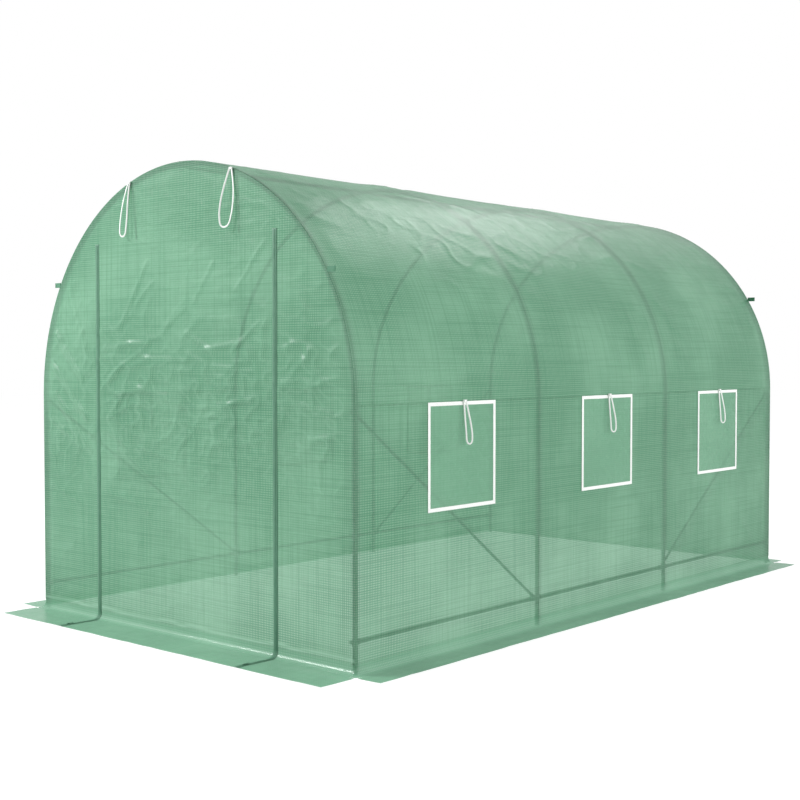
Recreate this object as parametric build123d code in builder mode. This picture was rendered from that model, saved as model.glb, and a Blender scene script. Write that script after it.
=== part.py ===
from build123d import *
from math import cos, degrees, pi, radians, sin, sqrt, tan
import os

# Walk-in polytunnel greenhouse: four steel hoops, low side rails, a ridge beam and
# diagonal braces under a woven cover, with a zipped roll-up door in the front wall,
# three roll-up windows in each side and loose skirts that lie on the ground.
# Millimetres. Origin at the middle of the footprint, skirts included, on the ground.
# +X is to the right seen from the door, +Y runs from the door to the back, +Z is up.

# Frame
tunnel_width = 2000.0
tunnel_length = 3500.0
end_bay = 1190.0
leg_height = 1010.0
bow_tail = 60.0
hoop_diameter = 19.0
hoop_wall = 1.0
arcs_per_hoop = 3
spigot_length = 45.0
spigot_clearance = 0.2
neck_length = 6.0
socket_depth = 50.0
rail_diameter = 16.0
rail_wall = 1.0
rail_height = 121.0
brace_diameter = 12.0
brace_wall = 1.0
brace_drop = 20.0
plate_length = 26.0
plate_taper = 26.0
plate_end = 8.5
plate_corner = 5.0
seat_gap = 0.2
tube_flats = 8  # tubes are drawn with this many flats, which keeps their mesh light

# Cover
cover_thickness = 2.0
cover_slack = 0.5
sewn_gap = 0.3
seam_rise = 8.0
skirt_curve = 30.0
curve_flats = 2
skirt_upstand = 10.0
skirt_overhang = 26.0
corner_lip = 4.0
side_skirt = 150.0
front_skirt = 212.0
rear_skirt = 122.0

# Door
door_width = 1160.0
door_height = 1705.0
door_gap = 2.0
zip_tape_width = 26.0
zip_tape_thickness = 1.2
zip_coil_width = 7.0
zip_coil_height = 3.0

# Windows
window_width = 447.0
window_height = 441.0
window_drop = 2.0
window_pitch = 1115.0
tape_width = 13.0
tape_thickness = 1.0
flap_thickness = 1.2
screen_thickness = 1.0
screen_overlap = 8.0

# Ties and tabs
tie_diameter = 7.0
door_tie_offset = 333.0
door_tie_lean = 0.05  # how far forward a door tie hangs, as a share of its drop
left_spread = 0.16  # how far forward its loop turns, as a share of its width
right_spread = 0.3
window_spread = 1.0
window_tie_rise = 3.0
tab_angle = 31.0
tab_length = 42.0
tab_width = 22.0
tab_thickness = 3.0

# Places that follow from the sizes above
hoop_radius = tunnel_width / 2
hoop_r = hoop_diameter / 2
middle_y = (front_skirt - rear_skirt) / 2
half_length = tunnel_length / 2
front_hoop_y = middle_y - half_length
rear_hoop_y = middle_y + half_length
hoop_y = [front_hoop_y, front_hoop_y + end_bay, rear_hoop_y - end_bay, rear_hoop_y]
hoop_names = ["front_hoop", "second_hoop", "third_hoop", "rear_hoop"]
cover_inner = hoop_radius + hoop_r + cover_slack
cover_outer = cover_inner + cover_thickness
end_inner = half_length + hoop_r + cover_slack
end_outer = end_inner + cover_thickness
seam_height = leg_height + seam_rise
skirt_top = skirt_curve + cover_thickness
wall_foot = skirt_top + skirt_upstand + sewn_gap
window_centre = seam_height - window_drop - window_height / 2
window_y = [middle_y - window_pitch, middle_y, middle_y + window_pitch]
window_places = [(y, window_centre) for y in window_y]
opening_width = window_width - 2 * tape_width
opening_height = window_height - 2 * tape_width

os.makedirs("parts", exist_ok=True)


def save(part, label):
    part.label = label
    export_step(part, "parts/" + label + ".step")


# A ring of corners round an oval, for tubes and for tubes pressed flat
def flats(half_across, half_up, mode=Mode.ADD):
    turns = [2 * pi * (index + 0.5) / tube_flats for index in range(tube_flats)]
    corners = [(half_across * cos(turn), half_up * sin(turn)) for turn in turns]
    Polygon(*corners, align=None, mode=mode)


# Hoop legs: straight tubes whose necked tops plug into the bow's straight tails
def hoop_legs(y):
    spigot_r = hoop_r - hoop_wall - spigot_clearance
    shoulder = leg_height - bow_tail - seat_gap
    with BuildPart() as legs:
        for side in (-1, 1):
            foot = Plane((side * hoop_radius, y, 0))
            with BuildSketch(foot):
                flats(hoop_r, hoop_r)
                flats(hoop_r - hoop_wall, hoop_r - hoop_wall, mode=Mode.SUBTRACT)
            extrude(amount=shoulder - neck_length)
            with BuildSketch(foot.offset(shoulder - neck_length)):
                flats(hoop_r, hoop_r)
            extrude(amount=neck_length)
            with BuildSketch(foot.offset(shoulder)):
                flats(spigot_r, spigot_r)
            extrude(amount=spigot_length)
    return legs.part


# Where a bow is cut across, at an angle up from its right-hand leg
def bow_section(y, angle):
    turn = radians(angle)
    centre = (hoop_radius * cos(turn), y, leg_height + hoop_radius * sin(turn))
    return Plane(centre, x_dir=(cos(turn), 0, sin(turn)), z_dir=(-sin(turn), 0, cos(turn)))


# Hoop bow: straight tails and arcs of tube turned about the hoop's centre, each arc's
# neck in the next one's socket. The arcs are hollow only as deep as their sockets.
def hoop_bow(y):
    spigot_r = hoop_r - hoop_wall - spigot_clearance
    arc_angle = 180 / arcs_per_hoop
    shoulder = arc_angle - degrees(seat_gap / hoop_radius)
    socket_angle = degrees(socket_depth / hoop_radius)
    spigot_angle = degrees(spigot_length / hoop_radius)
    axis = Axis((0, y, leg_height), (0, -1, 0))
    with BuildPart() as bow:
        for side in (-1, 1):
            with BuildSketch(Plane((side * hoop_radius, y, leg_height - bow_tail))):
                flats(hoop_r, hoop_r)
                flats(hoop_r - hoop_wall, hoop_r - hoop_wall, mode=Mode.SUBTRACT)
            extrude(amount=bow_tail)
        for index in range(arcs_per_hoop):
            start = index * arc_angle
            last = index == arcs_per_hoop - 1
            with BuildSketch(bow_section(y, start)):
                flats(hoop_r, hoop_r)
                flats(hoop_r - hoop_wall, hoop_r - hoop_wall, mode=Mode.SUBTRACT)
            revolve(axis=axis, revolution_arc=socket_angle)
            with BuildSketch(bow_section(y, start + socket_angle)):
                flats(hoop_r, hoop_r)
            revolve(axis=axis, revolution_arc=(arc_angle if last else shoulder) - socket_angle)
            if not last:
                with BuildSketch(bow_section(y, start + shoulder)):
                    flats(spigot_r, spigot_r)
                revolve(axis=axis, revolution_arc=spigot_angle)
    return bow.part


# A tube with both ends pressed flat, from bolt to bolt along X, its flats facing along Y
def flat_ended_tube(span, diameter, wall):
    radius = diameter / 2
    plate_width = pi * (radius - wall / 2) + wall
    taper_end = plate_length + plate_taper
    far_end = Plane((span, 0, 0), x_dir=(0, 1, 0), z_dir=(-1, 0, 0))
    plate_middle = (plate_length - plate_end) / 2
    with BuildPart() as tube:
        with BuildSketch(Plane.YZ.offset(taper_end)):
            flats(radius, radius)
        extrude(amount=span - 2 * taper_end)
        for end in (Plane.YZ, far_end):
            with BuildSketch(end.offset(plate_length)):
                flats(wall, plate_width / 2)
            with BuildSketch(end.offset(taper_end)):
                flats(radius, radius)
            loft(ruled=True)
        with BuildSketch(Plane.XZ) as plates:
            with Locations((plate_middle, 0), (span - plate_middle, 0)):
                Rectangle(plate_length + plate_end, plate_width)
            tips = plates.vertices().group_by(Axis.X)
            chamfer(tips[0] + tips[-1], length=plate_corner)
        extrude(amount=wall, both=True)
    return tube.part


# Lays a flat-ended tube from one bolt to the next, its flats square to a direction
def between(start, finish, facing):
    along = Vector(*finish) - Vector(*start)
    return Location(Plane(start, x_dir=along, z_dir=along.cross(Vector(*facing))))


# How far each layer of pressed plates stands in from the hoop's centre
hoop_flat = hoop_r * cos(pi / tube_flats)
first_layer = hoop_flat + seat_gap + rail_wall
second_layer = first_layer + seat_gap + 2 * rail_wall
brace_top_layer = hoop_flat + seat_gap + brace_wall
brace_low_layer = second_layer + rail_wall + seat_gap + brace_wall

# Hoops
for y, name in zip(hoop_y, hoop_names):
    save(hoop_legs(y), name + "_legs")
    save(hoop_bow(y), name + "_bow")

# Low rails, one length to a bay, lapped on the inner side of the legs
end_length = flat_ended_tube(hoop_y[1] - hoop_y[0], rail_diameter, rail_wall)
middle_length = flat_ended_tube(hoop_y[2] - hoop_y[1], rail_diameter, rail_wall)
rail_lengths = [
    (end_length, first_layer), (middle_length, second_layer), (end_length, first_layer)
]
for side, name in ((-1, "low_rail_left"), (1, "low_rail_right")):
    with BuildPart() as low_rail:
        for index, (length, layer) in enumerate(rail_lengths):
            start = (side * (hoop_radius - layer), hoop_y[index], rail_height)
            finish = (side * (hoop_radius - layer), hoop_y[index + 1], rail_height)
            with Locations(between(start, finish, (1, 0, 0))):
                add(length)
    save(low_rail.part, name)

# Ridge beam, one length to a bay, lapped under the bows
with BuildPart() as ridge_beam:
    for index, (length, layer) in enumerate(rail_lengths):
        start = (0, hoop_y[index], leg_height + hoop_radius - layer)
        finish = (0, hoop_y[index + 1], leg_height + hoop_radius - layer)
        with Locations(between(start, finish, (0, 0, 1))):
            add(length)
save(ridge_beam.part, "ridge_beam")

# Diagonal braces: from the top of an end leg down to the rail bolt of the next hoop
brace_top = leg_height - brace_drop
brace_fall = brace_top - rail_height
brace_set = brace_low_layer - brace_top_layer
brace = flat_ended_tube(sqrt(end_bay**2 + brace_fall**2 + brace_set**2), brace_diameter, brace_wall)
for side, name in ((-1, "braces_left"), (1, "braces_right")):
    with BuildPart() as braces:
        for top, low in ((0, 1), (3, 2)):
            start = (side * (hoop_radius - brace_top_layer), hoop_y[top], brace_top)
            finish = (side * (hoop_radius - brace_low_layer), hoop_y[low], rail_height)
            with Locations(between(start, finish, (1, 0, 0))):
                add(brace)
    save(braces.part, name)

# Roof cover: half a tube of cloth from seam to seam
with BuildPart() as roof_cover:
    with BuildSketch(Plane((0, middle_y, leg_height), x_dir=(1, 0, 0), z_dir=(0, -1, 0))):
        Circle(cover_outer)
        Circle(cover_inner, mode=Mode.SUBTRACT)
        with Locations((0, seam_rise)):
            Rectangle(
                3 * cover_outer, 2 * cover_outer,
                align=(Align.CENTER, Align.MAX), mode=Mode.SUBTRACT,
            )
    extrude(amount=end_outer, both=True)
save(roof_cover.part, "roof_cover")

# Side covers, from the seam down to the skirt, each with three window openings
side_height = seam_height - sewn_gap - wall_foot
for side, name in ((-1, "side_cover_left"), (1, "side_cover_right")):
    with BuildPart() as side_cover:
        with BuildSketch(Plane.YZ.offset(side * cover_inner)):
            with Locations((middle_y, wall_foot + side_height / 2)):
                Rectangle(2 * end_outer, side_height)
            with Locations(*window_places):
                Rectangle(opening_width, opening_height, mode=Mode.SUBTRACT)
        extrude(amount=side * cover_thickness)
    save(side_cover.part, name)

# End walls, rounded to fit inside the roof cover and the side covers
wall_half = cover_inner - sewn_gap
front_inner = Plane((0, middle_y - end_inner, leg_height), x_dir=(1, 0, 0), z_dir=(0, -1, 0))
rear_inner = Plane((0, middle_y + end_inner, leg_height), x_dir=(-1, 0, 0), z_dir=(0, 1, 0))


def end_wall_outline():
    Circle(wall_half)
    Rectangle(2 * wall_half, leg_height - wall_foot, align=(Align.CENTER, Align.MAX))
    with Locations((0, wall_foot - leg_height)):
        Rectangle(
            2 * wall_half, 2 * wall_half, align=(Align.CENTER, Align.MAX), mode=Mode.SUBTRACT
        )


with BuildPart() as front_wall:
    with BuildSketch(front_inner):
        end_wall_outline()
        with Locations((0, door_height - leg_height)):
            Rectangle(
                door_width + 2 * door_gap, 2 * wall_half,
                align=(Align.CENTER, Align.MAX), mode=Mode.SUBTRACT,
            )
    extrude(amount=cover_thickness)
save(front_wall.part, "front_wall")

with BuildPart() as rear_wall:
    with BuildSketch(rear_inner):
        end_wall_outline()
    extrude(amount=cover_thickness)
save(rear_wall.part, "rear_wall")

# Door panel, sewn along its top edge and zipped down both sides
panel_half = door_width / 2 - door_gap
with BuildPart() as door_panel:
    with BuildSketch(front_inner):
        with Locations((0, door_height - sewn_gap - leg_height)):
            Rectangle(
                2 * panel_half, door_height - sewn_gap - wall_foot,
                align=(Align.CENTER, Align.MAX),
            )
    extrude(amount=cover_thickness)
save(door_panel.part, "door_panel")


# Corners of the turn from a wall onto the ground, drawn with a few flats
def turn_corners(face):
    turns = [pi / 2 * index / curve_flats for index in range(curve_flats + 1)]
    radius = skirt_curve - face
    return [(skirt_curve - radius * cos(turn), skirt_top - radius * sin(turn)) for turn in turns]


# Section of cloth or tape that comes down a wall, turns outward and lies flat.
# Across is the distance out from the wall's outer face, up is the height.
def turned_section(inner_face, thickness, top, reach):
    outer_face = inner_face + thickness
    low = cover_thickness + inner_face
    Polygon(
        (inner_face, top), (outer_face, top), *turn_corners(outer_face),
        (reach, low + thickness), (reach, low), *reversed(turn_corners(inner_face)), align=None,
    )


# A plane square to a wall, from a point on the wall's outer face, looking along the wall
def across_wall(x, y, outward):
    return Plane((x, y, 0), x_dir=outward, z_dir=Vector(*outward).cross(Vector(0, 0, 1)))


to_front = (0, -1, 0)
to_rear = (0, 1, 0)
front_outer_y = middle_y - end_outer
rear_outer_y = middle_y + end_outer
corner_turn = cover_thickness + sewn_gap
corner_x = cover_outer - corner_turn
corner_half_y = end_outer - corner_turn
upstand = skirt_top + skirt_upstand
flat_start = skirt_curve + corner_lip + sewn_gap
flat_reach_x = cover_outer + skirt_overhang

# Front skirt, in two lengths beside the door, with the flat run on past each corner
front_length = corner_x - sewn_gap - door_width / 2 - door_gap
with BuildPart() as skirt_front:
    for side in (-1, 1):
        middle = side * (door_width / 2 + door_gap + front_length / 2)
        with BuildSketch(across_wall(middle, front_outer_y, to_front)):
            turned_section(-cover_thickness, cover_thickness, upstand, front_skirt)
        extrude(amount=front_length / 2, both=True)
        tip = flat_reach_x - (corner_x - sewn_gap)
        with BuildSketch(Plane.XY):
            with Locations((side * (flat_reach_x - tip / 2), front_outer_y - front_skirt)):
                Rectangle(tip, front_skirt - flat_start, align=(Align.CENTER, Align.MIN))
        extrude(amount=cover_thickness)
save(skirt_front.part, "skirt_front")

# Door skirt, the foot of the door panel between the zips
with BuildPart() as skirt_door:
    with BuildSketch(across_wall(0, front_outer_y, to_front)):
        turned_section(-cover_thickness, cover_thickness, upstand, front_skirt)
    extrude(amount=panel_half, both=True)
save(skirt_door.part, "skirt_door")

# Rear skirt
with BuildPart() as skirt_rear:
    with BuildSketch(across_wall(0, rear_outer_y, to_rear)):
        turned_section(-cover_thickness, cover_thickness, upstand, rear_skirt)
    extrude(amount=corner_x - sewn_gap, both=True)
    with BuildSketch(Plane.XY):
        with Locations((0, rear_outer_y + rear_skirt)):
            Rectangle(2 * flat_reach_x, rear_skirt - flat_start, align=(Align.CENTER, Align.MAX))
    extrude(amount=cover_thickness)
save(skirt_rear.part, "skirt_rear")

# Side skirts, each with the two corners of the cover turned out round their ends
for side, name in ((-1, "skirt_left"), (1, "skirt_right")):
    with BuildPart() as side_skirt_part:
        with BuildSketch(across_wall(side * cover_outer, middle_y, (side, 0, 0))):
            turned_section(-cover_thickness, cover_thickness, upstand, side_skirt)
        extrude(amount=corner_half_y, both=True)
        with BuildSketch(Plane.XY):
            with Locations((side * (cover_outer + (flat_start + side_skirt) / 2), middle_y)):
                Rectangle(side_skirt - flat_start, 2 * (end_outer + skirt_overhang))
        extrude(amount=cover_thickness)
        for end in (-1, 1):
            post = (side * corner_x, middle_y + end * corner_half_y, 0)
            wall = across_wall(side * cover_outer, middle_y + end * corner_half_y, (side, 0, 0))
            with BuildSketch(wall):
                turned_section(-cover_thickness, cover_thickness, upstand, skirt_curve + corner_lip)
            revolve(axis=Axis(post, (0, 0, side * end)), revolution_arc=90)
    save(side_skirt_part.part, name)

# Door zips: a tape with a raised coil, down the wall and out over the skirt
with BuildPart() as door_zips:
    for side in (-1, 1):
        zip_plane = across_wall(side * door_width / 2, front_outer_y, to_front)
        with BuildSketch(zip_plane):
            turned_section(sewn_gap, zip_tape_thickness, door_height, front_skirt)
        extrude(amount=zip_tape_width / 2, both=True)
        with BuildSketch(zip_plane):
            turned_section(sewn_gap, zip_coil_height, door_height, front_skirt)
        extrude(amount=zip_coil_width / 2, both=True)
save(door_zips.part, "door_zips")

# Windows: a screen inside each opening, a flap outside it and tape round the flap
screen_face = cover_inner - sewn_gap
flap_face = cover_outer + sewn_gap
tape_face = flap_face + flap_thickness + sewn_gap
tape_outer = tape_face + tape_thickness

with BuildPart() as window_screens:
    for side in (-1, 1):
        with BuildSketch(Plane.YZ.offset(side * screen_face)):
            with Locations(*window_places):
                Rectangle(opening_width + 2 * screen_overlap, opening_height + 2 * screen_overlap)
        extrude(amount=-side * screen_thickness)
save(window_screens.part, "window_screens")

with BuildPart() as window_flaps:
    for side in (-1, 1):
        with BuildSketch(Plane.YZ.offset(side * flap_face)):
            with Locations(*window_places):
                Rectangle(window_width, window_height)
        extrude(amount=side * flap_thickness)
save(window_flaps.part, "window_flaps")

with BuildPart() as window_tapes:
    for side in (-1, 1):
        with BuildSketch(Plane.YZ.offset(side * tape_face)):
            with Locations(*window_places):
                Rectangle(window_width, window_height)
                Rectangle(opening_width, opening_height, mode=Mode.SUBTRACT)
        extrude(amount=side * tape_thickness)
save(window_tapes.part, "window_tapes")

# Guy tabs: flat loops of webbing that stand out of the end seams, two at each end
tab_x = cover_outer * cos(radians(tab_angle))
tab_z = leg_height + cover_outer * sin(radians(tab_angle))
with BuildPart() as guy_tabs:
    for end_y, inward in ((front_outer_y, 1), (rear_outer_y, -1)):
        with BuildSketch(Plane((0, end_y, 0), x_dir=(1, 0, 0), z_dir=(0, -1, 0))):
            for side in (-1, 1):
                with Locations((side * tab_x, tab_z)):
                    Rectangle(2 * tab_length, tab_width)
            with Locations((0, leg_height)):
                Circle(cover_outer + sewn_gap, mode=Mode.SUBTRACT)
        extrude(amount=-inward * tab_thickness)
save(guy_tabs.part, "guy_tabs")


# Ties: loops of tape that hang from a seam and hold the rolled-up door or window. Each
# hangs in a plane of its own, and each point is (sideways, down) from the loop's top.
left_door_route = [
    (0, 0), (8, 64), (10, 130), (12, 188), (19, 240),
    (51, 238), (52, 185), (44, 124), (30, 62), (8.5, 2),
]
right_door_route = [
    (0, 0), (-11, 60), (-13, 122), (-7, 182), (8, 240),
    (46, 243), (54, 190), (47, 128), (29, 62), (8.5, 2),
]
window_route = [
    (0, 0), (3, 62), (9.5, 130), (11.5, 180), (34.5, 180), (34.5, 130), (22, 64), (8.5, 1),
]
bend_share = 0.45


# How far a square tie reaches towards its wall, turned to its spread
def tie_reach(spread):
    return tie_diameter / 2 * (1 + spread) / sqrt(1 + spread**2)


def tie_loop(top, sideways, down, route):
    hang = Plane(top, x_dir=sideways, z_dir=Vector(*down).cross(Vector(*sideways)))
    points = [hang.from_local_coords(Vector(across, -fall)) for across, fall in route]
    radii = []
    for before, corner, after in zip(points, points[1:], points[2:]):
        turn = radians((corner - before).get_angle(after - corner))
        run = min((corner - before).length, (after - corner).length)
        radii.append(bend_share * run / tan(turn / 2))
    with BuildPart() as loop:
        with BuildLine() as path:
            FilletPolyline(*points, radius=radii)
        with BuildSketch(Plane(path.line @ 0, x_dir=hang.z_dir, z_dir=path.line % 0)):
            Rectangle(tie_diameter, tie_diameter)
        sweep()
    print("tie", round(path.wires()[0].length), "mm, radii", [round(r) for r in radii])
    return loop.part


door_tie_z = leg_height + sqrt(cover_outer**2 - door_tie_offset**2)
with BuildPart() as door_ties:
    for side, spread, route in (
        (-1, left_spread, left_door_route), (1, right_spread, right_door_route)
    ):
        top = (side * door_tie_offset, front_outer_y - sewn_gap - tie_reach(spread), door_tie_z)
        add(tie_loop(top, (-1, -spread, 0), (0, -door_tie_lean, -1), route))
save(door_ties.part, "door_ties")

window_tie_x = tape_outer + sewn_gap + tie_reach(window_spread)
with BuildPart() as window_ties:
    for side in (-1, 1):
        for y in window_y:
            top = (side * window_tie_x, y, seam_height + window_tie_rise)
            add(tie_loop(top, (side * window_spread, 1, 0), (0, 0, -1), window_route))
save(window_ties.part, "window_ties")
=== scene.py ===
from math import atan2, cos, exp, hypot, pi, radians, sin, sqrt

import bpy
from mathutils import Matrix, Vector, noise


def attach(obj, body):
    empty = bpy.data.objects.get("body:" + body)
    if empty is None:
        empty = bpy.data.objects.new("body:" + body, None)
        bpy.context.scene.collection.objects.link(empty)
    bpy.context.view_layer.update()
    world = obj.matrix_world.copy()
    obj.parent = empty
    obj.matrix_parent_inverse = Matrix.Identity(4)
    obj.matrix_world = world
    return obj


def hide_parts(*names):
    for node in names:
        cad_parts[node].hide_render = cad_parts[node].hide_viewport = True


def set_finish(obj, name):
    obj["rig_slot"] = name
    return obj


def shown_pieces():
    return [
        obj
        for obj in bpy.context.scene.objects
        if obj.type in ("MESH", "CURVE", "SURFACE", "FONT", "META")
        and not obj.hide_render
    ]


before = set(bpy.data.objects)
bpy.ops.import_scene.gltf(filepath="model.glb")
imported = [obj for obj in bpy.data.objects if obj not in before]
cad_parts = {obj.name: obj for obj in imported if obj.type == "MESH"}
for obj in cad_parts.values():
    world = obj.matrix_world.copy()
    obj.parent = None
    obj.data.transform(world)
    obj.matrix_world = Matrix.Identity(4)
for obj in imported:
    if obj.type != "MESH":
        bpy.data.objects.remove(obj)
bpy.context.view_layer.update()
print("frame loaded")

# Camera at the photograph's angle
cameraPlace = {
    "spot": (4.293, -5.239, 1.203), "turn": 41.02, "lookDown": 1.89, "lens": 58.08,
    "shift": (0.0012, -0.0022),
}

bpy.ops.object.select_all(action="DESELECT")
bpy.ops.object.camera_add(
    location=cameraPlace["spot"],
    rotation=(radians(90 - cameraPlace["lookDown"]), 0, radians(cameraPlace["turn"])),
)
camera = bpy.context.object
camera.name = "photoCamera"
camera.data.lens = cameraPlace["lens"]
camera.data.sensor_width = 36
camera.data.shift_x, camera.data.shift_y = cameraPlace["shift"]
camera.data.clip_end = 100
bpy.context.scene.camera = camera

# Sizes of the tunnel that several pieces share, in metres
tunnel = {
    "radius": 1.0, "legHeight": 1.01, "bay": 1.19, "hoopYs": (-1.705, -0.515, 0.605, 1.795),
    "railHeight": 0.121, "windowYs": (-1.07, 0.045, 1.16), "coverRadius": 1.011,
    "frontY": -1.716, "rearY": 1.806, "wallFoot": 0.041, "seam": 1.018,
}
bothSides = ((-1, "Left"), (1, "Right"))

# Ties: limp loops of white tape sewn to the seams. Each route is (sideways, down) in its own plane.
leftDoorRoute = [
    (0, 0), (0.008, 0.064), (0.010, 0.130), (0.012, 0.188), (0.019, 0.240),
    (0.051, 0.238), (0.052, 0.185), (0.044, 0.124), (0.030, 0.062), (0.0085, 0.002),
]
rightDoorRoute = [
    (0, 0), (-0.011, 0.060), (-0.013, 0.122), (-0.007, 0.182), (0.008, 0.240),
    (0.046, 0.243), (0.054, 0.190), (0.047, 0.128), (0.029, 0.062), (0.0085, 0.002),
]
windowRoute = [
    (0, 0), (0.003, 0.062), (0.0095, 0.130), (0.0115, 0.180),
    (0.0345, 0.180), (0.0345, 0.130), (0.022, 0.064), (0.0085, 0.001),
]
tie = {
    "width": 0.007, "thickness": 0.0034, "pointRadius": 0.01,
    "doorTopLeft": (-0.333, -1.72131, 1.96564), "doorTopRight": (0.333, -1.72166, 1.96564),
    "windowX": 1.02005, "windowZ": 1.021,
    "doorLengthLeft": 0.503, "doorLengthRight": 0.517, "windowLength": 0.376,
}


def deselectAll():
    if bpy.context.object and bpy.context.object.mode != "OBJECT":
        bpy.ops.object.mode_set(mode="OBJECT")
    bpy.ops.object.select_all(action="DESELECT")


def hangTie(name, node, top, sideways, down, route):
    across = Vector(sideways).normalized()
    square = Vector(down).cross(across).normalized()
    up = square.cross(across)
    deselectAll()
    curve = bpy.data.curves.new(name, "CURVE")
    curve.dimensions = "3D"
    spline = curve.splines.new("NURBS")
    spline.points.add(len(route) - 1)
    for point, (side, fall) in zip(spline.points, route):
        point.co = (*(Vector(top) + across * side - up * fall), 1)
        point.radius = tie["pointRadius"]
    spline.order_u = 3
    spline.use_endpoint_u = True
    spline.resolution_u = 8
    curve.fill_mode = "FULL"
    # a point's radius scales the section, and a small one keeps the curve's own box close to it
    curve.bevel_depth = tie["thickness"] / 2 / tie["pointRadius"]
    curve.bevel_resolution = 3
    curve.extrude = (tie["width"] - tie["thickness"]) / 2 / tie["pointRadius"]
    loop = bpy.data.objects.new(name, curve)
    bpy.context.collection.objects.link(loop)
    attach(loop, "root")
    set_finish(loop, "white_tape")
    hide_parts(node)


hangTie("doorTieLeft", "door_ties", tie["doorTopLeft"], (-1, -0.16, 0), (0, -0.05, -1),
        leftDoorRoute)
hangTie("doorTieRight", "door_ties", tie["doorTopRight"], (-1, -0.3, 0), (0, -0.05, -1),
        rightDoorRoute)
for side, word in bothSides:
    for number, y in enumerate(tunnel["windowYs"], 1):
        hangTie(f"windowTie{word}{number}", "window_ties", (side * tie["windowX"], y, tie["windowZ"]),
                (side, 1, 0), (0, 0, -1), windowRoute)
print("ties hung")


def selectOnly(piece):
    deselectAll()
    piece.select_set(True)
    bpy.context.view_layer.objects.active = piece


def placeInMesh(piece):
    selectOnly(piece)
    bpy.ops.object.transform_apply(location=True, rotation=True, scale=True)


# What a finished piece gets: its place in its mesh, its body, its finish and the node it stands for
def finishPiece(piece, slotName, nodes=()):
    placeInMesh(piece)
    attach(piece, "root")
    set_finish(piece, slotName)
    for node in nodes:
        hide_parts(node)
    deselectAll()
    return piece


def editPiece(piece, mode="FACE"):
    selectOnly(piece)
    bpy.ops.object.mode_set(mode="EDIT")
    bpy.ops.mesh.select_mode(type=mode)
    bpy.ops.mesh.select_all(action="DESELECT")


def pickFaces(piece, wanted):
    editPiece(piece, "FACE")
    bpy.ops.object.mode_set(mode="OBJECT")
    for face in piece.data.polygons:
        face.select = wanted(face)
    bpy.ops.object.mode_set(mode="EDIT")


def copyPiece(piece, name):
    twin = piece.copy()
    twin.data = piece.data.copy()
    twin.name = name
    bpy.context.collection.objects.link(twin)
    return twin


def joinPieces(pieces, name):
    deselectAll()
    for piece in pieces:
        piece.select_set(True)
    bpy.context.view_layer.objects.active = pieces[0]
    bpy.ops.object.join()
    joined = bpy.context.object
    joined.name = name
    return joined


def closeUp(piece, distance=0.00002):
    editPiece(piece, "VERT")
    bpy.ops.mesh.select_all(action="SELECT")
    bpy.ops.mesh.remove_doubles(threshold=distance)
    bpy.ops.mesh.normals_make_consistent(inside=False)
    bpy.ops.object.mode_set(mode="OBJECT")


def smoothPiece(piece, angle=40):
    selectOnly(piece)
    bpy.ops.object.shade_smooth_by_angle(angle=radians(angle))


def shapeWith(piece, kind, **values):
    # sets a modifier and applies it
    modifier = piece.modifiers.new(kind.lower(), kind)
    for setting, value in values.items():
        setattr(modifier, setting, value)
    selectOnly(piece)
    bpy.ops.object.modifier_apply(modifier=modifier.name)


# Even steps from one place to another, so that fixed lines such as a window's edge fall on a row
def steps(stops, pitch):
    lines = [stops[0]]
    for low, high in zip(stops, stops[1:]):
        count = max(1, round((high - low) / pitch))
        lines += [low + (high - low) * step / count for step in range(1, count + 1)]
    return lines


# A sheet of cloth: a grid whose crossings are put in place one by one. The threads' own
# coordinates, in metres, are kept as the UV map that the weave follows.
def drawSheet(name, across, along, place, keep=None, paler=None):
    deselectAll()
    columns, rows = len(across), len(along)
    bpy.ops.mesh.primitive_grid_add(x_subdivisions=columns - 1, y_subdivisions=rows - 1, size=2)
    sheet = bpy.context.object
    sheet.name = name
    mesh = sheet.data
    threads = []
    for vertex in mesh.vertices:
        a = across[round((vertex.co.x + 1) / 2 * (columns - 1))]
        b = along[round((vertex.co.y + 1) / 2 * (rows - 1))]
        threads.append((a, b))
        vertex.co = place(a, b)
    while mesh.uv_layers:
        mesh.uv_layers.remove(mesh.uv_layers[0])
    weave = mesh.uv_layers.new(name="cloth")
    for corner in mesh.loops:
        weave.data[corner.index].uv = threads[corner.vertex_index]
    # where given, each point gets a paleness that the cloth's colour reads: film whitening with a painted
    # highlight along creases, and a painted highlight along the wall's foot
    if paler:
        creaseWhiteningAndHighlight = mesh.attributes.new("creaseWhiteningAndHighlight", "FLOAT", "POINT")
        for index, (a, b) in enumerate(threads):
            creaseWhiteningAndHighlight.data[index].value = paler(a, b)
    if keep:
        middles = {}
        for face in mesh.polygons:
            corners = [threads[index] for index in face.vertices]
            middles[face.index] = (sum(c[0] for c in corners) / 4, sum(c[1] for c in corners) / 4)
        pickFaces(sheet, lambda face: not keep(*middles[face.index]))
        bpy.ops.mesh.delete(type="FACE")
        bpy.ops.object.mode_set(mode="OBJECT")
    for face in mesh.polygons:
        face.use_smooth = True
    return sheet


def faceOut(sheet, outward):
    # turns the sheet over where its faces look the wrong way
    face = sheet.data.polygons[len(sheet.data.polygons) // 2]
    if face.normal.dot(Vector(outward)) < 0:
        editPiece(sheet, "FACE")
        bpy.ops.mesh.select_all(action="SELECT")
        bpy.ops.mesh.flip_normals()
        bpy.ops.object.mode_set(mode="OBJECT")


# Relief of the cloth, in metres outward
def ease(value):
    value = min(1, max(0, value))
    return value * value * (3 - 2 * value)


def ridge(x, y, z, sharpness=2.0):
    # a thin crest where the noise crosses nought, as a crease in stiff film has
    return max(0, 1 - abs(noise.noise(Vector((x, y, z)))) * 2.6) ** sharpness


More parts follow.
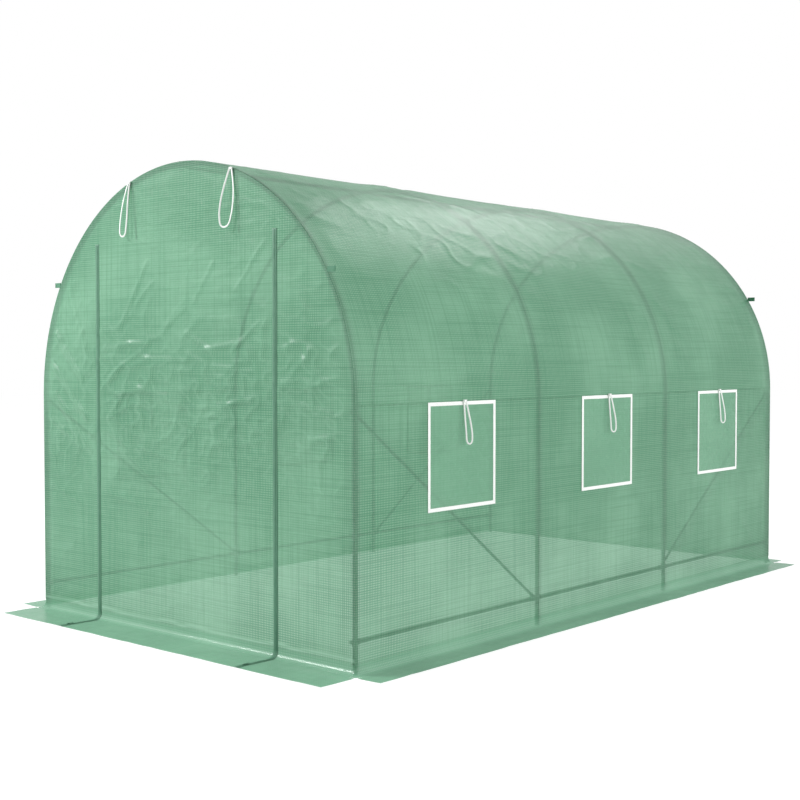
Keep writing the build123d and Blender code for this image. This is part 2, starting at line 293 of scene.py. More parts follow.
def creaseHeight(a, b, creases):
    # (start, end, width, rise) of each crease, which wanders a little on its way
    height = 0
    for startA, startB, endA, endB, width, rise in creases:
        runA, runB = endA - startA, endB - startB
        length = hypot(runA, runB)
        along = ((a - startA) * runA + (b - startB) * runB) / length
        if along < -width or along > length + width:
            continue
        off = ((b - startB) * runA - (a - startA) * runB) / length
        off += 0.012 * noise.noise(Vector((startA * 7 + along * 6, startB * 5, 0)))
        if abs(off) > 3 * width:
            continue
        fade = ease((along + width) / (3 * width)) * ease((length + width - along) / (3 * width))
        height += rise * fade * exp(-(off / width) ** 2)
    return height


bolt = {
    "headRadius": 0.0065, "headSink": 0.0006,
    "headSteps": ((0.0010, 1.0), (0.0009, 0.90), (0.0008, 0.72), (0.0005, 0.45)),
    "shank": 0.003, "shankPast": 0.0022, "tip": 0.0006, "tipShare": 0.75,
    "nutRadius": 0.0058, "nutHeight": 0.0052, "nutBevel": 0.0006, "washerRadius": 0.0078,
    "washerThick": 0.0012, "bumpRise": 0.0034, "bumpRadius": 0.013, "bumpReach": 0.05,
}


def boltBumps(a, b, places):
    near = [(x, y) for x, y in places if max(abs(a - x), abs(b - y)) < bolt["bumpReach"]]
    return sum(
        bolt["bumpRise"] * exp(-((a - x) ** 2 + (b - y) ** 2) / bolt["bumpRadius"] ** 2)
        for x, y in near
    )


# Hoops: one is drawn from foot to foot, then copied to the other three places
hoop = {
    "tubeRadius": 0.0095, "sides": 20, "arcSteps": 40, "edge": 0.0012,
    "neck": 0.0084, "neckLength": 0.005, "neckSlope": 0.002, "tail": 0.06,
}


def growTube(move=None, swell=None, centre=(0, 0, 0)):
    if move:
        bpy.ops.mesh.extrude_region_move(TRANSFORM_OT_translate={"value": move})
    if swell:
        bpy.ops.transform.resize(value=(swell, swell, swell), center_override=centre)


def drawHoop(name):
    deselectAll()
    radius, leg = tunnel["radius"], tunnel["legHeight"]
    edge, slope, neckLength = hoop["edge"], hoop["neckSlope"], hoop["neckLength"]
    neckRun = neckLength + 2 * slope
    bpy.ops.mesh.primitive_circle_add(
        vertices=hoop["sides"], radius=hoop["tubeRadius"] - edge, fill_type="NGON",
        location=(radius, 0, 0),
    )
    piece = bpy.context.object
    piece.name = name
    bpy.ops.object.mode_set(mode="EDIT")
    bpy.ops.mesh.select_mode(type="FACE")
    shrink = hoop["neck"] / hoop["tubeRadius"]
    swell = hoop["tubeRadius"] / (hoop["tubeRadius"] - edge)
    joint = leg - hoop["tail"]
    growTube((0, 0, edge), swell, (radius, 0, edge))
    growTube((0, 0, joint - neckRun - edge))
    growTube((0, 0, slope), shrink, (radius, 0, joint - neckLength - slope))
    growTube((0, 0, neckLength))
    growTube((0, 0, slope), 1 / shrink, (radius, 0, joint))
    growTube((0, 0, hoop["tail"]))
    # three arcs with a neck between each two
    turned = 0
    neckTurn = neckLength / radius
    neck = ((neckTurn * 0.3, shrink), (neckTurn * 0.4, None), (neckTurn * 0.3, 1 / shrink))
    for part in range(3):
        reach = pi / 3 * (part + 1) - (neckTurn if part < 2 else 0) - turned
        spinTube(reach, hoop["arcSteps"])
        turned += reach
        for turn, scale in neck if part < 2 else ():
            spinTube(turn, 1)
            turned += turn
            if scale:
                growTube(None, scale, (radius * cos(turned), 0, leg + radius * sin(turned)))
    growTube((0, 0, -hoop["tail"]))
    growTube((0, 0, -slope), shrink, (-radius, 0, joint - slope))
    growTube((0, 0, -neckLength))
    growTube((0, 0, -slope), 1 / shrink, (-radius, 0, joint - neckRun))
    growTube((0, 0, -(joint - neckRun - edge)))
    growTube((0, 0, -edge), 1 / swell, (-radius, 0, 0))
    bpy.ops.object.mode_set(mode="OBJECT")
    closeUp(piece)
    smoothPiece(piece, 35)
    return piece


def spinTube(angle, count):
    bpy.ops.mesh.spin(
        steps=count, angle=angle, center=(0, 0, tunnel["legHeight"]), axis=(0, 1, 0),
    )


hoopNames = ("frontHoop", "secondHoop", "thirdHoop", "rearHoop")
hoopNodes = ("front_hoop", "second_hoop", "third_hoop", "rear_hoop")
firstHoop = drawHoop("frontHoop")
hoops = [firstHoop] + [copyPiece(firstHoop, name) for name in hoopNames[1:]]
for piece, node, y in zip(hoops, hoopNodes, tunnel["hoopYs"]):
    piece.location.y = y
    finishPiece(piece, "frame_tube", (node + "_legs", node + "_bow"))
print("hoops drawn", [tuple(round(v, 3) for v in hoops[0].dimensions)])

# Rails, ridge beam and braces: tubes with both ends pressed flat and bolted
flatTube = {"plate": 0.026, "taper": 0.026, "tip": 0.0085, "sides": 20}


def drawFlatTube(name, span, diameter, wall):
    radius = diameter / 2
    flatHalf = (pi * (radius - wall / 2) + wall) / 2
    deselectAll()
    bpy.ops.mesh.primitive_circle_add(
        vertices=flatTube["sides"], radius=radius, fill_type="NGON",
        rotation=(0, radians(90), 0), location=(-flatTube["tip"], 0, 0),
    )
    piece = bpy.context.object
    piece.name = name
    bpy.ops.object.transform_apply(location=True, rotation=True, scale=False)
    # each ring is (place along, half height, half width)
    tip, plate, taper = flatTube["tip"], flatTube["plate"], flatTube["taper"]
    near = [
        (-tip, flatHalf - 0.0050), (-tip + 0.0018, flatHalf - 0.0022), (-tip + 0.005, flatHalf),
        (plate, flatHalf),
    ]
    rings = [(x, wall * 0.98, width) for x, width in near]
    for share in (0.25, 0.5, 0.75, 1.0):
        mix = ease(share)
        height = wall + (radius - wall) * mix
        rings.append((plate + taper * share, height, flatHalf + (radius - flatHalf) * mix))
    rings += [(span - x, height, width) for x, height, width in reversed(rings)]
    bpy.ops.object.mode_set(mode="EDIT")
    bpy.ops.mesh.select_mode(type="FACE")
    bpy.ops.mesh.select_all(action="SELECT")
    lastX, lastHeight, lastWidth = rings[0]
    bpy.ops.transform.resize(
        value=(1, lastHeight / radius, lastWidth / radius), center_override=(lastX, 0, 0)
    )
    for x, height, width in rings[1:]:
        bpy.ops.mesh.extrude_region_move(TRANSFORM_OT_translate={"value": (x - lastX, 0, 0)})
        bpy.ops.transform.resize(
            value=(1, height / lastHeight, width / lastWidth), center_override=(x, 0, 0)
        )
        lastX, lastHeight, lastWidth = x, height, width
    bpy.ops.object.mode_set(mode="OBJECT")
    closeUp(piece)
    smoothPiece(piece, 45)
    return piece


def layTube(piece, start, finish, facing):
    # from one bolt to the next, its flats square to a direction
    along = (Vector(finish) - Vector(start)).normalized()
    width = along.cross(Vector(facing)).normalized()
    height = width.cross(along)
    turned = Matrix((along, height, width)).transposed().to_4x4()
    piece.matrix_world = Matrix.Translation(Vector(start)) @ turned


# how far in from the hoops' middle line each layer of pressed ends lies
layers = {"first": 0.009977, "second": 0.012177, "third": 0.014377}
frameTube = {"rail": 0.016, "brace": 0.012, "wall": 0.001, "braceDrop": 0.02}
bayEnds = tunnel["hoopYs"]
railFirst = drawFlatTube("railFirst", tunnel["bay"], frameTube["rail"], frameTube["wall"])
railMiddle = drawFlatTube(
    "railMiddle", bayEnds[2] - bayEnds[1], frameTube["rail"], frameTube["wall"]
)
for side, word, node in (
    (-1, "Left", "low_rail_left"), (1, "Right", "low_rail_right"), (0, "Ridge", "ridge_beam"),
):
    lengths = []
    for bay, model in enumerate((railFirst, railMiddle, railFirst)):
        inset = layers["second"] if bay == 1 else layers["first"]
        piece = copyPiece(model, f"rail{word}{bay}")
        if side:
            x, z, facing = side * (1 - inset), tunnel["railHeight"], (side, 0, 0)
        else:
            x, z, facing = 0, tunnel["legHeight"] + 1 - inset, (0, 0, 1)
        layTube(piece, (x, bayEnds[bay], z), (x, bayEnds[bay + 1], z), facing)
        lengths.append(piece)
    joined = joinPieces(lengths, "ridgeBeam" if side == 0 else "lowRail" + word)
    finishPiece(joined, "frame_tube", (node,))

braceTop, braceFoot = tunnel["legHeight"] - frameTube["braceDrop"], tunnel["railHeight"]
braceSpan = sqrt(
    tunnel["bay"] ** 2 + (braceTop - braceFoot) ** 2 + (layers["third"] - layers["first"]) ** 2
)
brace = drawFlatTube("brace", braceSpan, frameTube["brace"], frameTube["wall"])
for side, word in bothSides:
    pair = []
    for top, low in ((0, 1), (3, 2)):
        piece = copyPiece(brace, f"brace{word}{top}")
        layTube(
            piece, (side * (1 - layers["first"]), bayEnds[top], braceTop),
            (side * (1 - layers["third"]), bayEnds[low], braceFoot), (side, 0, 0),
        )
        pair.append(piece)
    finishPiece(joinPieces(pair, "braces" + word), "frame_tube", ("braces_" + word.lower(),))
for model in (railFirst, railMiddle, brace):
    bpy.data.objects.remove(model)
print("rails, ridge beam and braces drawn")


def startDisc(sides, radius, height):
    deselectAll()
    bpy.ops.mesh.primitive_circle_add(
        vertices=sides, radius=radius, fill_type="NGON", location=(0, 0, height)
    )
    bpy.ops.object.mode_set(mode="EDIT")
    return bpy.context.object


def growDisc(rise, scale=None):
    bpy.ops.mesh.extrude_region_move(TRANSFORM_OT_translate={"value": (0, 0, rise)})
    if scale:
        bpy.ops.transform.resize(value=(scale, scale, 1))


# Bolts: a domed head outside the hoop, a washer and a nut inside the pressed ends
def drawBolt(name, grip):
    head = startDisc(20, bolt["headRadius"], hoop["tubeRadius"] - bolt["headSink"])
    for rise, scale in bolt["headSteps"]:
        growDisc(rise, scale)
    bpy.ops.object.mode_set(mode="OBJECT")
    foot = startDisc(20, bolt["washerRadius"], -grip)
    growDisc(-bolt["washerThick"])
    growDisc(0, bolt["shank"] / bolt["washerRadius"])
    growDisc(-bolt["nutHeight"] - bolt["shankPast"])
    growDisc(-bolt["tip"], bolt["tipShare"])
    bpy.ops.object.mode_set(mode="OBJECT")
    nut = startDisc(6, bolt["nutRadius"], -grip - bolt["washerThick"])
    growDisc(-bolt["nutHeight"])
    bpy.ops.mesh.select_all(action="SELECT")
    bpy.ops.mesh.bevel(offset=bolt["nutBevel"], segments=2, affect="EDGES")
    bpy.ops.object.mode_set(mode="OBJECT")
    piece = joinPieces([head, foot, nut], name)
    closeUp(piece)
    smoothPiece(piece, 30)
    return piece


def setBolt(model, spot, outward):
    piece = copyPiece(model, "bolt")
    turned = Vector((0, 0, 1)).rotation_difference(Vector(outward)).to_matrix().to_4x4()
    piece.matrix_world = Matrix.Translation(Vector(spot)) @ turned
    return piece


shortBolt = drawBolt("shortBolt", 0.0112)
longBolt = drawBolt("longBolt", 0.0156)  # through one layer of pressed ends more
boltByHoop = (shortBolt, longBolt, longBolt, shortBolt)
bolts = []
for side, _ in bothSides:
    for model, y in zip(boltByHoop, bayEnds):
        bolts.append(setBolt(model, (side, y, tunnel["railHeight"]), (side, 0, 0)))
    for y in (bayEnds[0], bayEnds[3]):
        bolts.append(setBolt(shortBolt, (side, y, braceTop), (side, 0, 0)))
for model, y in zip(boltByHoop, bayEnds):
    bolts.append(setBolt(model, (0, y, tunnel["legHeight"] + 1), (0, 0, 1)))
finishPiece(joinPieces(bolts, "frameBolts"), "frame_tube")
for model in (shortBolt, longBolt):
    bpy.data.objects.remove(model)
print("bolts set")

# Roof cover: one stretched sheet from seam to seam, a little slack between the hoops
roof = {"pitchAcross": 0.0135, "pitchAlong": 0.012, "sag": 0.0008, "crease": 0.0016, "pull": 0.0052,
        "film": 0.0027}
ridgeBolts = [(pi * tunnel["coverRadius"] / 2, y) for y in bayEnds]


def hoopDistance(y):
    return min(abs(y - at) for at in bayEnds)


def betweenHoops(y):
    # 0 over a hoop, 1 in the middle of a bay
    for low, high in zip(bayEnds, bayEnds[1:]):
        if low <= y <= high:
            return sin(pi * (y - low) / (high - low))
    return 0


def roofRelief(arc, y):
    slack = betweenHoops(y)
    free = ease((hoopDistance(y) - 0.012) / 0.09)
    turn = arc / tunnel["coverRadius"]
    height = -roof["sag"] * slack * (0.75 + 0.25 * noise.noise(Vector((arc * 1.3, y * 0.8, 2))))
    # short pulls that fan out from each hoop, and longer soft ones along the bay
    nearHoop = exp(-((hoopDistance(y) - 0.12) / 0.13) ** 2)
    fan = ridge(arc * 5.2 + 0.8 * noise.noise(Vector((arc, y * 3, 5))), y * 1.6, 3.1, 2.4)
    height += roof["pull"] * nearHoop * free * fan * (0.4 + 0.6 * ease(sin(turn) * 1.2))
    broad = noise.noise(Vector((arc * 2.2, y * 1.1, 9.0))) + 0.5 * noise.noise(Vector((arc * 5.1, y * 2.7, 1.0)))
    height += roof["crease"] * free * broad
    film = ridge(arc * 9 + y * 2, y * 6 - arc * 2, 7.7, 3.0)
    height += roof["film"] * free * film * ease(noise.noise(Vector((arc * 1.7, y * 1.7, 4))) * 2 + 0.4)
    return height + boltBumps(arc, y, ridgeBolts)


def roofPlace(arc, y):
    angle = arc / tunnel["coverRadius"]
    radius = tunnel["coverRadius"] + roofRelief(arc, y)
    return (radius * cos(angle), y, tunnel["legHeight"] + radius * sin(angle))


seamArc = tunnel["seam"] - tunnel["legHeight"]
roofAcross = steps((seamArc, pi * tunnel["coverRadius"] - seamArc), roof["pitchAcross"])
roofAlong = steps((tunnel["frontY"], tunnel["rearY"]), roof["pitchAlong"])
roofSheet = drawSheet("roofCover", roofAcross, roofAlong, roofPlace)
faceOut(roofSheet, (0, 0, 1))
finishPiece(roofSheet, "cover_cloth", ("roof_cover",))
print("roof cover drawn")

# Side covers, hung from the seam, each with three window openings
sideCover = {"pitch": 0.016, "sag": 0.0045, "crease": 0.0022, "film": 0.0010}
window = {"width": 0.447, "height": 0.441, "centreZ": 0.7955, "tape": 0.013}
openHalfWidth = window["width"] / 2 - window["tape"]
openHalfHeight = window["height"] / 2 - window["tape"]
railBolts = [(y, tunnel["railHeight"]) for y in bayEnds]
railBolts += [(bayEnds[0], braceTop), (bayEnds[3], braceTop)]
sideCreases = [
    (-1.66, 0.93, -1.32, 0.62, 0.016, 0.0022), (-1.62, 0.28, -1.30, 0.20, 0.018, 0.0020),
    (-0.80, 0.92, -0.56, 0.80, 0.014, 0.0018), (-0.44, 0.90, -0.24, 0.62, 0.016, 0.0020),
    (0.30, 0.55, 0.56, 0.30, 0.016, 0.0018), (0.66, 0.93, 0.90, 0.75, 0.014, 0.0018),
    (1.42, 0.90, 1.74, 0.60, 0.016, 0.0022), (1.20, 0.50, 1.60, 0.16, 0.018, 0.0020),
    (-1.10, 0.50, -0.70, 0.30, 0.018, 0.0018), (-0.30, 0.42, 0.10, 0.22, 0.018, 0.0018),
]


def windowCalm(y, z):
    # the sewn frames hold the cloth flat
    calm = 1
    for at in tunnel["windowYs"]:
        past = (abs(y - at) - window["width"] / 2, abs(z - window["centreZ"]) - window["height"] / 2)
        calm = min(calm, ease(max(past) / 0.05))
    return calm


def sideRelief(y, z):
    free = ease((hoopDistance(y) - 0.010) / 0.08) * ease((tunnel["seam"] - z) / 0.03)
    free *= windowCalm(y, z)
    height = -sideCover["sag"] * betweenHoops(y) * free * ease((z - 0.05) / 0.1)
    height += sideCover["crease"] * free * noise.noise(Vector((y * 3.1, z * 4.0, 12.0)))
    height += sideCover["film"] * free * ridge(y * 6 + z * 2, z * 7, 3.3, 3.0)
    height += creaseHeight(y, z, sideCreases) * free
    return height + boltBumps(y, z, railBolts)


def sidePlace(side):
    return lambda y, z: (side * (tunnel["coverRadius"] + sideRelief(y, z)), y, z)


def outsideWindow(y, z):
    return not any(
        abs(y - at) < openHalfWidth and abs(z - window["centreZ"]) < openHalfHeight
        for at in tunnel["windowYs"]
    )


sideStopsY = [tunnel["frontY"]]
for y in tunnel["windowYs"]:
    sideStopsY += [y - openHalfWidth, y + openHalfWidth]
sideStopsY.append(tunnel["rearY"])
sideStopsZ = [
    tunnel["wallFoot"], window["centreZ"] - openHalfHeight,
    window["centreZ"] + openHalfHeight, tunnel["seam"],
]
for side, word in bothSides:
    sheet = drawSheet("sideCover" + word, steps(sideStopsY, sideCover["pitch"]),
                      steps(sideStopsZ, sideCover["pitch"]), sidePlace(side), outsideWindow)
    faceOut(sheet, (side, 0, 0))
    finishPiece(sheet, "cover_cloth", ("side_cover_" + word.lower(),))
print("side covers drawn")

# Front wall and door: one relief runs over both, as the door hangs level with the wall
front = {
    "pitch": 0.0095, "doorHalf": 0.581, "doorTop": 1.705, "crease": 0.0030, "film": 0.0050,
    "fine": 0.0034, "creaseLift": 1.7, "creaseNarrow": 0.78,
}
frontCreases = [
    (-0.93, 1.34, -0.70, 1.08, 0.020, 0.0050), (-0.95, 1.18, -0.66, 0.90, 0.018, 0.0048),
    (-0.92, 1.04, -0.72, 0.80, 0.016, 0.0040), (-0.84, 0.96, -0.62, 0.76, 0.014, 0.0032),
    (-0.97, 0.92, -0.70, 0.78, 0.018, 0.0034), (-0.80, 1.52, -0.66, 1.20, 0.016, 0.0022),
    (-0.54, 1.24, -0.20, 1.26, 0.014, 0.0032), (-0.50, 1.10, -0.26, 1.22, 0.013, 0.0030),
    (-0.46, 1.02, -0.24, 1.06, 0.012, 0.0026), (-0.52, 0.92, -0.30, 1.00, 0.013, 0.0024),
    (-0.42, 1.32, -0.22, 1.62, 0.014, 0.0024), (-0.30, 1.42, -0.18, 1.52, 0.012, 0.0020),
    (-0.10, 1.32, 0.04, 1.40, 0.011, 0.0022), (-0.26, 1.20, 0.06, 1.18, 0.012, 0.0026),
    (0.02, 1.30, 0.22, 1.20, 0.010, 0.0028), (0.12, 1.22, 0.40, 1.26, 0.013, 0.0032),
    (0.20, 1.16, 0.46, 1.14, 0.012, 0.0026), (0.32, 1.22, 0.50, 1.34, 0.012, 0.0028),
    (0.34, 1.46, 0.52, 1.66, 0.012, 0.0020), (0.08, 1.42, 0.22, 1.60, 0.013, 0.0018),
    (-0.50, 0.86, -0.34, 0.78, 0.010, 0.0026), (-0.44, 0.80, -0.22, 0.68, 0.009, 0.0026),
    (-0.30, 0.80, 0.02, 0.74, 0.008, 0.0026), (-0.14, 0.92, 0.24, 0.90, 0.014, 0.0026),
    (-0.18, 1.02, 0.10, 0.98, 0.012, 0.0022), (0.10, 0.98, 0.46, 1.02, 0.012, 0.0024),
    (0.12, 0.82, 0.52, 0.86, 0.014, 0.0022), (-0.54, 0.60, -0.20, 0.52, 0.016, 0.0020),
    (0.66, 1.26, 0.86, 1.10, 0.016, 0.0026), (0.64, 1.02, 0.90, 0.98, 0.014, 0.0022),
    (0.66, 0.86, 0.92, 0.90, 0.014, 0.0020), (0.70, 1.44, 0.82, 1.30, 0.013, 0.0018),
    (0.66, 0.72, 0.90, 0.66, 0.014, 0.0016), (-0.96, 0.60, -0.70, 0.52, 0.018, 0.0022),
]
frontCreases = [(*ends, width * front["creaseNarrow"], rise) for *ends, width, rise in frontCreases]


def wallFree(x, z):
    # 0 where the wall lies on its hoop, 1 where it hangs free
    reach = hypot(x, z - tunnel["legHeight"]) if z > tunnel["legHeight"] else abs(x)
    return ease((0.985 - reach) / 0.05)


def fineCreases(x, z, sharpness):
    return ridge(x * 13 + z * 7, z * 15 - x * 4, 8.2, sharpness)


def frontRelief(x, z):
    free = wallFree(x, z) * ease((z - 0.04) / 0.06)
    height = front["crease"] * noise.noise(Vector((x * 2.6, z * 2.2, 6.0)))
    middle = exp(-((z - 1.08) / 0.34) ** 2)
    film = ridge(x * 5.5 + z * 1.5, z * 9 - x * 1.5, 1.7, 2.2) * (0.25 + middle)
    patches = ease(noise.noise(Vector((x * 2.4, z * 2.4, 3))) * 2 + 0.5)
    fine = fineCreases(x, z, 2.0) * patches
    height += front["film"] * film + front["fine"] * fine * (0.3 + middle)
    height += front["creaseLift"] * creaseHeight(x, z, frontCreases)
    height = height * free
    if z < front["doorTop"] + 0.02:
        # the zips hold the cloth nearly flat beside them
        height *= 0.25 + 0.75 * ease(abs(abs(x) - 0.58) / 0.06)
    return height


def frontWhiteningAndHighlight(x, z):
    # film whitens a little along its sharpest creases, and they are paler still as a painted highlight on their
    # crests; a painted highlight runs in a scalloped line along the foot, where the wall turns into the skirt
    crest = ease(creaseHeight(x, z, frontCreases) / 0.0035 - 0.5)
    fine = fineCreases(x, z, 5.0) * exp(-((z - 1.0) / 0.45) ** 2)
    scallop = 0.010 * abs(sin(x * 9 + 2 * noise.noise(Vector((x * 3, 0, 0)))))
    foot = exp(-((z - 0.050 - scallop) / 0.006) ** 2)
    return min(1, (0.30 * crest + 0.35 * fine) * wallFree(x, z) + 0.9 * foot)


doorHalf = front["doorHalf"]
wallRadius = tunnel["coverRadius"] - 0.0012


def wallTop(x):
    return tunnel["legHeight"] + sqrt(max(0, wallRadius**2 - x**2))


def wallColumns(stops, pitch):
    # even steps round the arch
    turns = [
        max(-pi / 2, min(pi / 2, atan2(x, sqrt(max(0, wallRadius**2 - x**2))))) for x in stops
    ]
    return [wallRadius * sin(turn) for turn in steps(turns, pitch)]


shareAtDoor = (front["doorTop"] - tunnel["wallFoot"]) / (wallTop(doorHalf) - tunnel["wallFoot"])
lowRows = round(shareAtDoor * 1.6 / front["pitch"])
highRows = round(0.22 / front["pitch"])


def wallHeight(x, row):
    # row 0 is the foot, 1 the level of the door's top, 2 the arch
    foot, top = tunnel["wallFoot"], wallTop(x)
    sill = front["doorTop"] if abs(x) <= doorHalf + 0.0001 else foot + (top - foot) * shareAtDoor
    return foot + (sill - foot) * row if row <= 1 else sill + (top - sill) * (row - 1)


def frontPlace(x, row):
    z = wallHeight(x, row)
    return (x, tunnel["frontY"] - frontRelief(x, z), z)


def rearPlace(x, row):
    z = wallHeight(x, row)
    free = wallFree(x, z) * ease((z - 0.04) / 0.06)
    film = ridge(x * 4.5 - z * 1.5, z * 7 + x * 1.5, 21.7, 2.2)
    broad = noise.noise(Vector((x * 2.2, z * 2.0, 16.0)))
    return (x, tunnel["rearY"] + free * (0.0024 * broad + 0.0016 * film), z)


wallRows = steps((0, 1), 1 / lowRows) + steps((1, 2), 1 / highRows)[1:]


def trueThreads(sheet):
    # the wall's threads run level and upright, whatever way its grid runs
    weave = sheet.data.uv_layers["cloth"]
    for corner in sheet.data.loops:
        spot = sheet.data.vertices[corner.vertex_index].co
        weave.data[corner.index].uv = (spot.x, spot.z)


frontWall = drawSheet(
    "frontWall", wallColumns((-wallRadius, -doorHalf, doorHalf, wallRadius), front["pitch"]),
    wallRows, frontPlace, lambda x, row: abs(x) > doorHalf or row > 1,
    lambda x, row: frontWhiteningAndHighlight(x, wallHeight(x, row)),
)
trueThreads(frontWall)
faceOut(frontWall, (0, -1, 0))
finishPiece(frontWall, "cover_cloth", ("front_wall",))

doorPanel = drawSheet(
    "doorPanel", steps((-doorHalf + 0.0015, doorHalf - 0.0015), front["pitch"]),
    steps((tunnel["wallFoot"], front["doorTop"]), front["pitch"]),
    lambda x, z: (x, tunnel["frontY"] - 0.0002 - frontRelief(x, z), z), None, frontWhiteningAndHighlight,
)
faceOut(doorPanel, (0, -1, 0))
finishPiece(doorPanel, "cover_cloth", ("door_panel",))

rearColumns = wallColumns((-wallRadius, 0, wallRadius), front["pitch"])
rearWall = drawSheet("rearWall", rearColumns, wallRows, rearPlace)
trueThreads(rearWall)
faceOut(rearWall, (0, 1, 0))
finishPiece(rearWall, "cover_cloth", ("rear_wall",))
print("end walls and door drawn")

# Skirts: the foot of each wall turned out over the ground
skirt = {
    "curve": 0.031, "top": 0.042, "upstand": 0.010, "front": 0.212, "side": 0.150, "rear": 0.122,
    "cornerX": 1.0097, "tipX": 1.038, "wave": 0.0016, "pitch": 0.016, "rowPitch": 0.008,
    "doorSide": 0.582, "doorHalf": 0.578, "tipLong": 0.178, "tipShort": 0.088,
}


def skirtSection(down):
    # down the wall, round the turn and out over the ground: (out from the wall, height)
    curve, upstand = skirt["curve"], skirt["top"] - 0.001 - skirt["curve"]
    turn = curve * pi / 2
    if down < upstand:
        return (-0.001, skirt["top"] - down)
    if down < upstand + turn:
        angle = (down - upstand) / curve
        return (curve * (1 - cos(angle)) - 0.001, 0.001 + curve * (1 - sin(angle)))
    return (down - upstand - turn + curve - 0.001, 0.001)


def skirtLength(reach):
    return skirt["top"] - 0.001 - skirt["curve"] + skirt["curve"] * pi / 2 + reach + 0.001 - skirt["curve"]


def skirtWave(a, b, down, reach):
    # the flat part lies on the ground and lifts a little here and there, most at its edge
    flat = ease((down - 0.07) / 0.06)
    lift = 0.5 + 0.5 * noise.noise(Vector((a * 2.3, b * 2.3, 30.0)))
    ripple = ridge(a * 5 + b, b * 5 - a, 31.0, 2.0)
    return flat * (skirt["wave"] * lift + 0.0010 * ripple) * (0.5 + down / skirtLength(reach))


def skirtPlace(reach, spot):
    # spot turns (along the wall, out from it) into a place on the ground
    def place(a, down):
        out, height = skirtSection(down)
        x, y = spot(a, out)
        return (x, y, height + skirtWave(x, y, down, reach))
    return place


tipStart = skirtLength(0.0343)
half = {"front": skirt["cornerX"] - 0.0003, "tip": skirt["tipX"]}


def skirtLines(*ends):
    # rows down the wall, round the turn and out over the ground
    turnEnd = skirt["upstand"] + skirt["curve"] * pi / 2
    return steps((0, skirt["upstand"], turnEnd, tipStart, *ends), skirt["rowPitch"])


def drawSkirt(name, alongStops, reach, spot, node, tips):
    downLines = skirtLines(skirtLength(reach))
    sheet = drawSheet(name, steps(alongStops, skirt["pitch"]), downLines, skirtPlace(reach, spot),
                      lambda a, down: tips(a) or down > tipStart)
    faceOut(sheet, (0, 0, 1))
    finishPiece(sheet, "skirt_cloth", (node,))
    return sheet


frontEdge, rearEdge = -1.717, 1.807
longReach, backReach, sideReach = skirt["front"], skirt["rear"], skirt["side"]


def inFront(a, out):
    return (a, frontEdge - out)


def behind(a, out):
    return (a, rearEdge + out)


for side, word in bothSides:
    stops = sorted((side * skirt["doorSide"], side * half["front"], side * half["tip"]))
    sheet = drawSkirt("skirtFront" + word, stops, longReach, inFront, "skirt_front",
                      lambda a: abs(a) < half["front"])
    flatArea = (half["front"] - skirt["doorSide"]) * skirtLength(longReach)
    flatArea += (half["tip"] - half["front"]) * skirt["tipLong"]
doorSkirt = drawSkirt("skirtDoor", (-skirt["doorHalf"], skirt["doorHalf"]), longReach, inFront,
                      "skirt_door", lambda a: True)
rearStops = (-half["tip"], -half["front"], half["front"], half["tip"])
rearSkirt = drawSkirt("skirtRear", rearStops, backReach, behind, "skirt_rear",
                      lambda a: abs(a) < half["front"])
rearArea = 2 * half["front"] * skirtLength(backReach)
rearArea += 2 * (half["tip"] - half["front"]) * skirt["tipShort"]

# Side skirts, each with the corners of the cover turned out round their ends
cornerY = {"front": -1.7147, "rear": 1.8047, "tipFront": -1.743, "tipRear": 1.833}
for side, word in bothSides:
    def beside(a, out):
        return (side * (1.012 + out), a)

    stops = (cornerY["tipFront"], cornerY["front"], cornerY["rear"], cornerY["tipRear"])
    strip = drawSheet("skirt" + word, steps(stops, skirt["pitch"]),
                      skirtLines(skirtLength(sideReach)), skirtPlace(sideReach, beside),
                      lambda a, down: cornerY["front"] < a < cornerY["rear"] or down > tipStart)
    faceOut(strip, (0, 0, 1))
    parts = [strip]
    for end, postY in ((-1, cornerY["front"]), (1, cornerY["rear"])):
        def cornerSpot(a, out):
            reach = 0.0023 + out
            return (side * (skirt["cornerX"] + reach * cos(a)), postY + end * reach * sin(a))
        corner = drawSheet("corner", steps((0, pi / 2), pi / 20), skirtLines(),
                           skirtPlace(sideReach, cornerSpot))
        faceOut(corner, (side, end, 1))
        parts.append(corner)
    sheet = joinPieces(parts, "skirt" + word)
    editPiece(sheet, "VERT")
    bpy.ops.mesh.select_all(action="SELECT")
    bpy.ops.mesh.remove_doubles(threshold=0.0003)
    bpy.ops.object.mode_set(mode="OBJECT")
    finishPiece(sheet, "skirt_cloth", ("skirt_" + word.lower(),))
print("skirts laid")

# Seams and hems: narrow second layers of cloth where the real cover is folded and sewn
seam = {"band": 0.007, "arch": 0.013, "proud": 0.0008, "pitch": 0.03}
bandRadius = tunnel["coverRadius"] + seam["proud"]
bandAcross = steps((0, seam["arch"]), seam["arch"])
trim = []


def addBand(name, across, along, place, outward):
    trim.append(drawSheet(name, across, along, place))
    faceOut(trim[-1], outward)


for y, inward in ((tunnel["frontY"], 1), (tunnel["rearY"], -1)):
    def archSpot(arc, b):
        turn = arc / tunnel["coverRadius"]
        return (bandRadius * cos(turn), y - inward * seam["proud"] + inward * b,
                tunnel["legHeight"] + bandRadius * sin(turn))

    addBand("archBand", steps((0.0, pi * tunnel["coverRadius"]), seam["pitch"]), bandAcross,
            archSpot, (0, 0, 1))
    for side in (-1, 1):
        addBand("postBand", steps((tunnel["wallFoot"], tunnel["legHeight"]), seam["pitch"]), bandAcross,
                lambda z, b: (side * bandRadius, y - inward * seam["proud"] + inward * b, z), (side, 0, 0))
for side in (-1, 1):
    addBand("sideBand", steps((tunnel["frontY"], tunnel["rearY"]), sideCover["pitch"]),
            steps((tunnel["seam"] - seam["band"], tunnel["seam"]), seam["band"]),
            lambda y, z: (side * (bandRadius + sideRelief(y, z)), y, z), (side, 0, 0))
seamBands = finishPiece(joinPieces(trim, "seamBands"), "cover_cloth")
print("seam bands sewn")

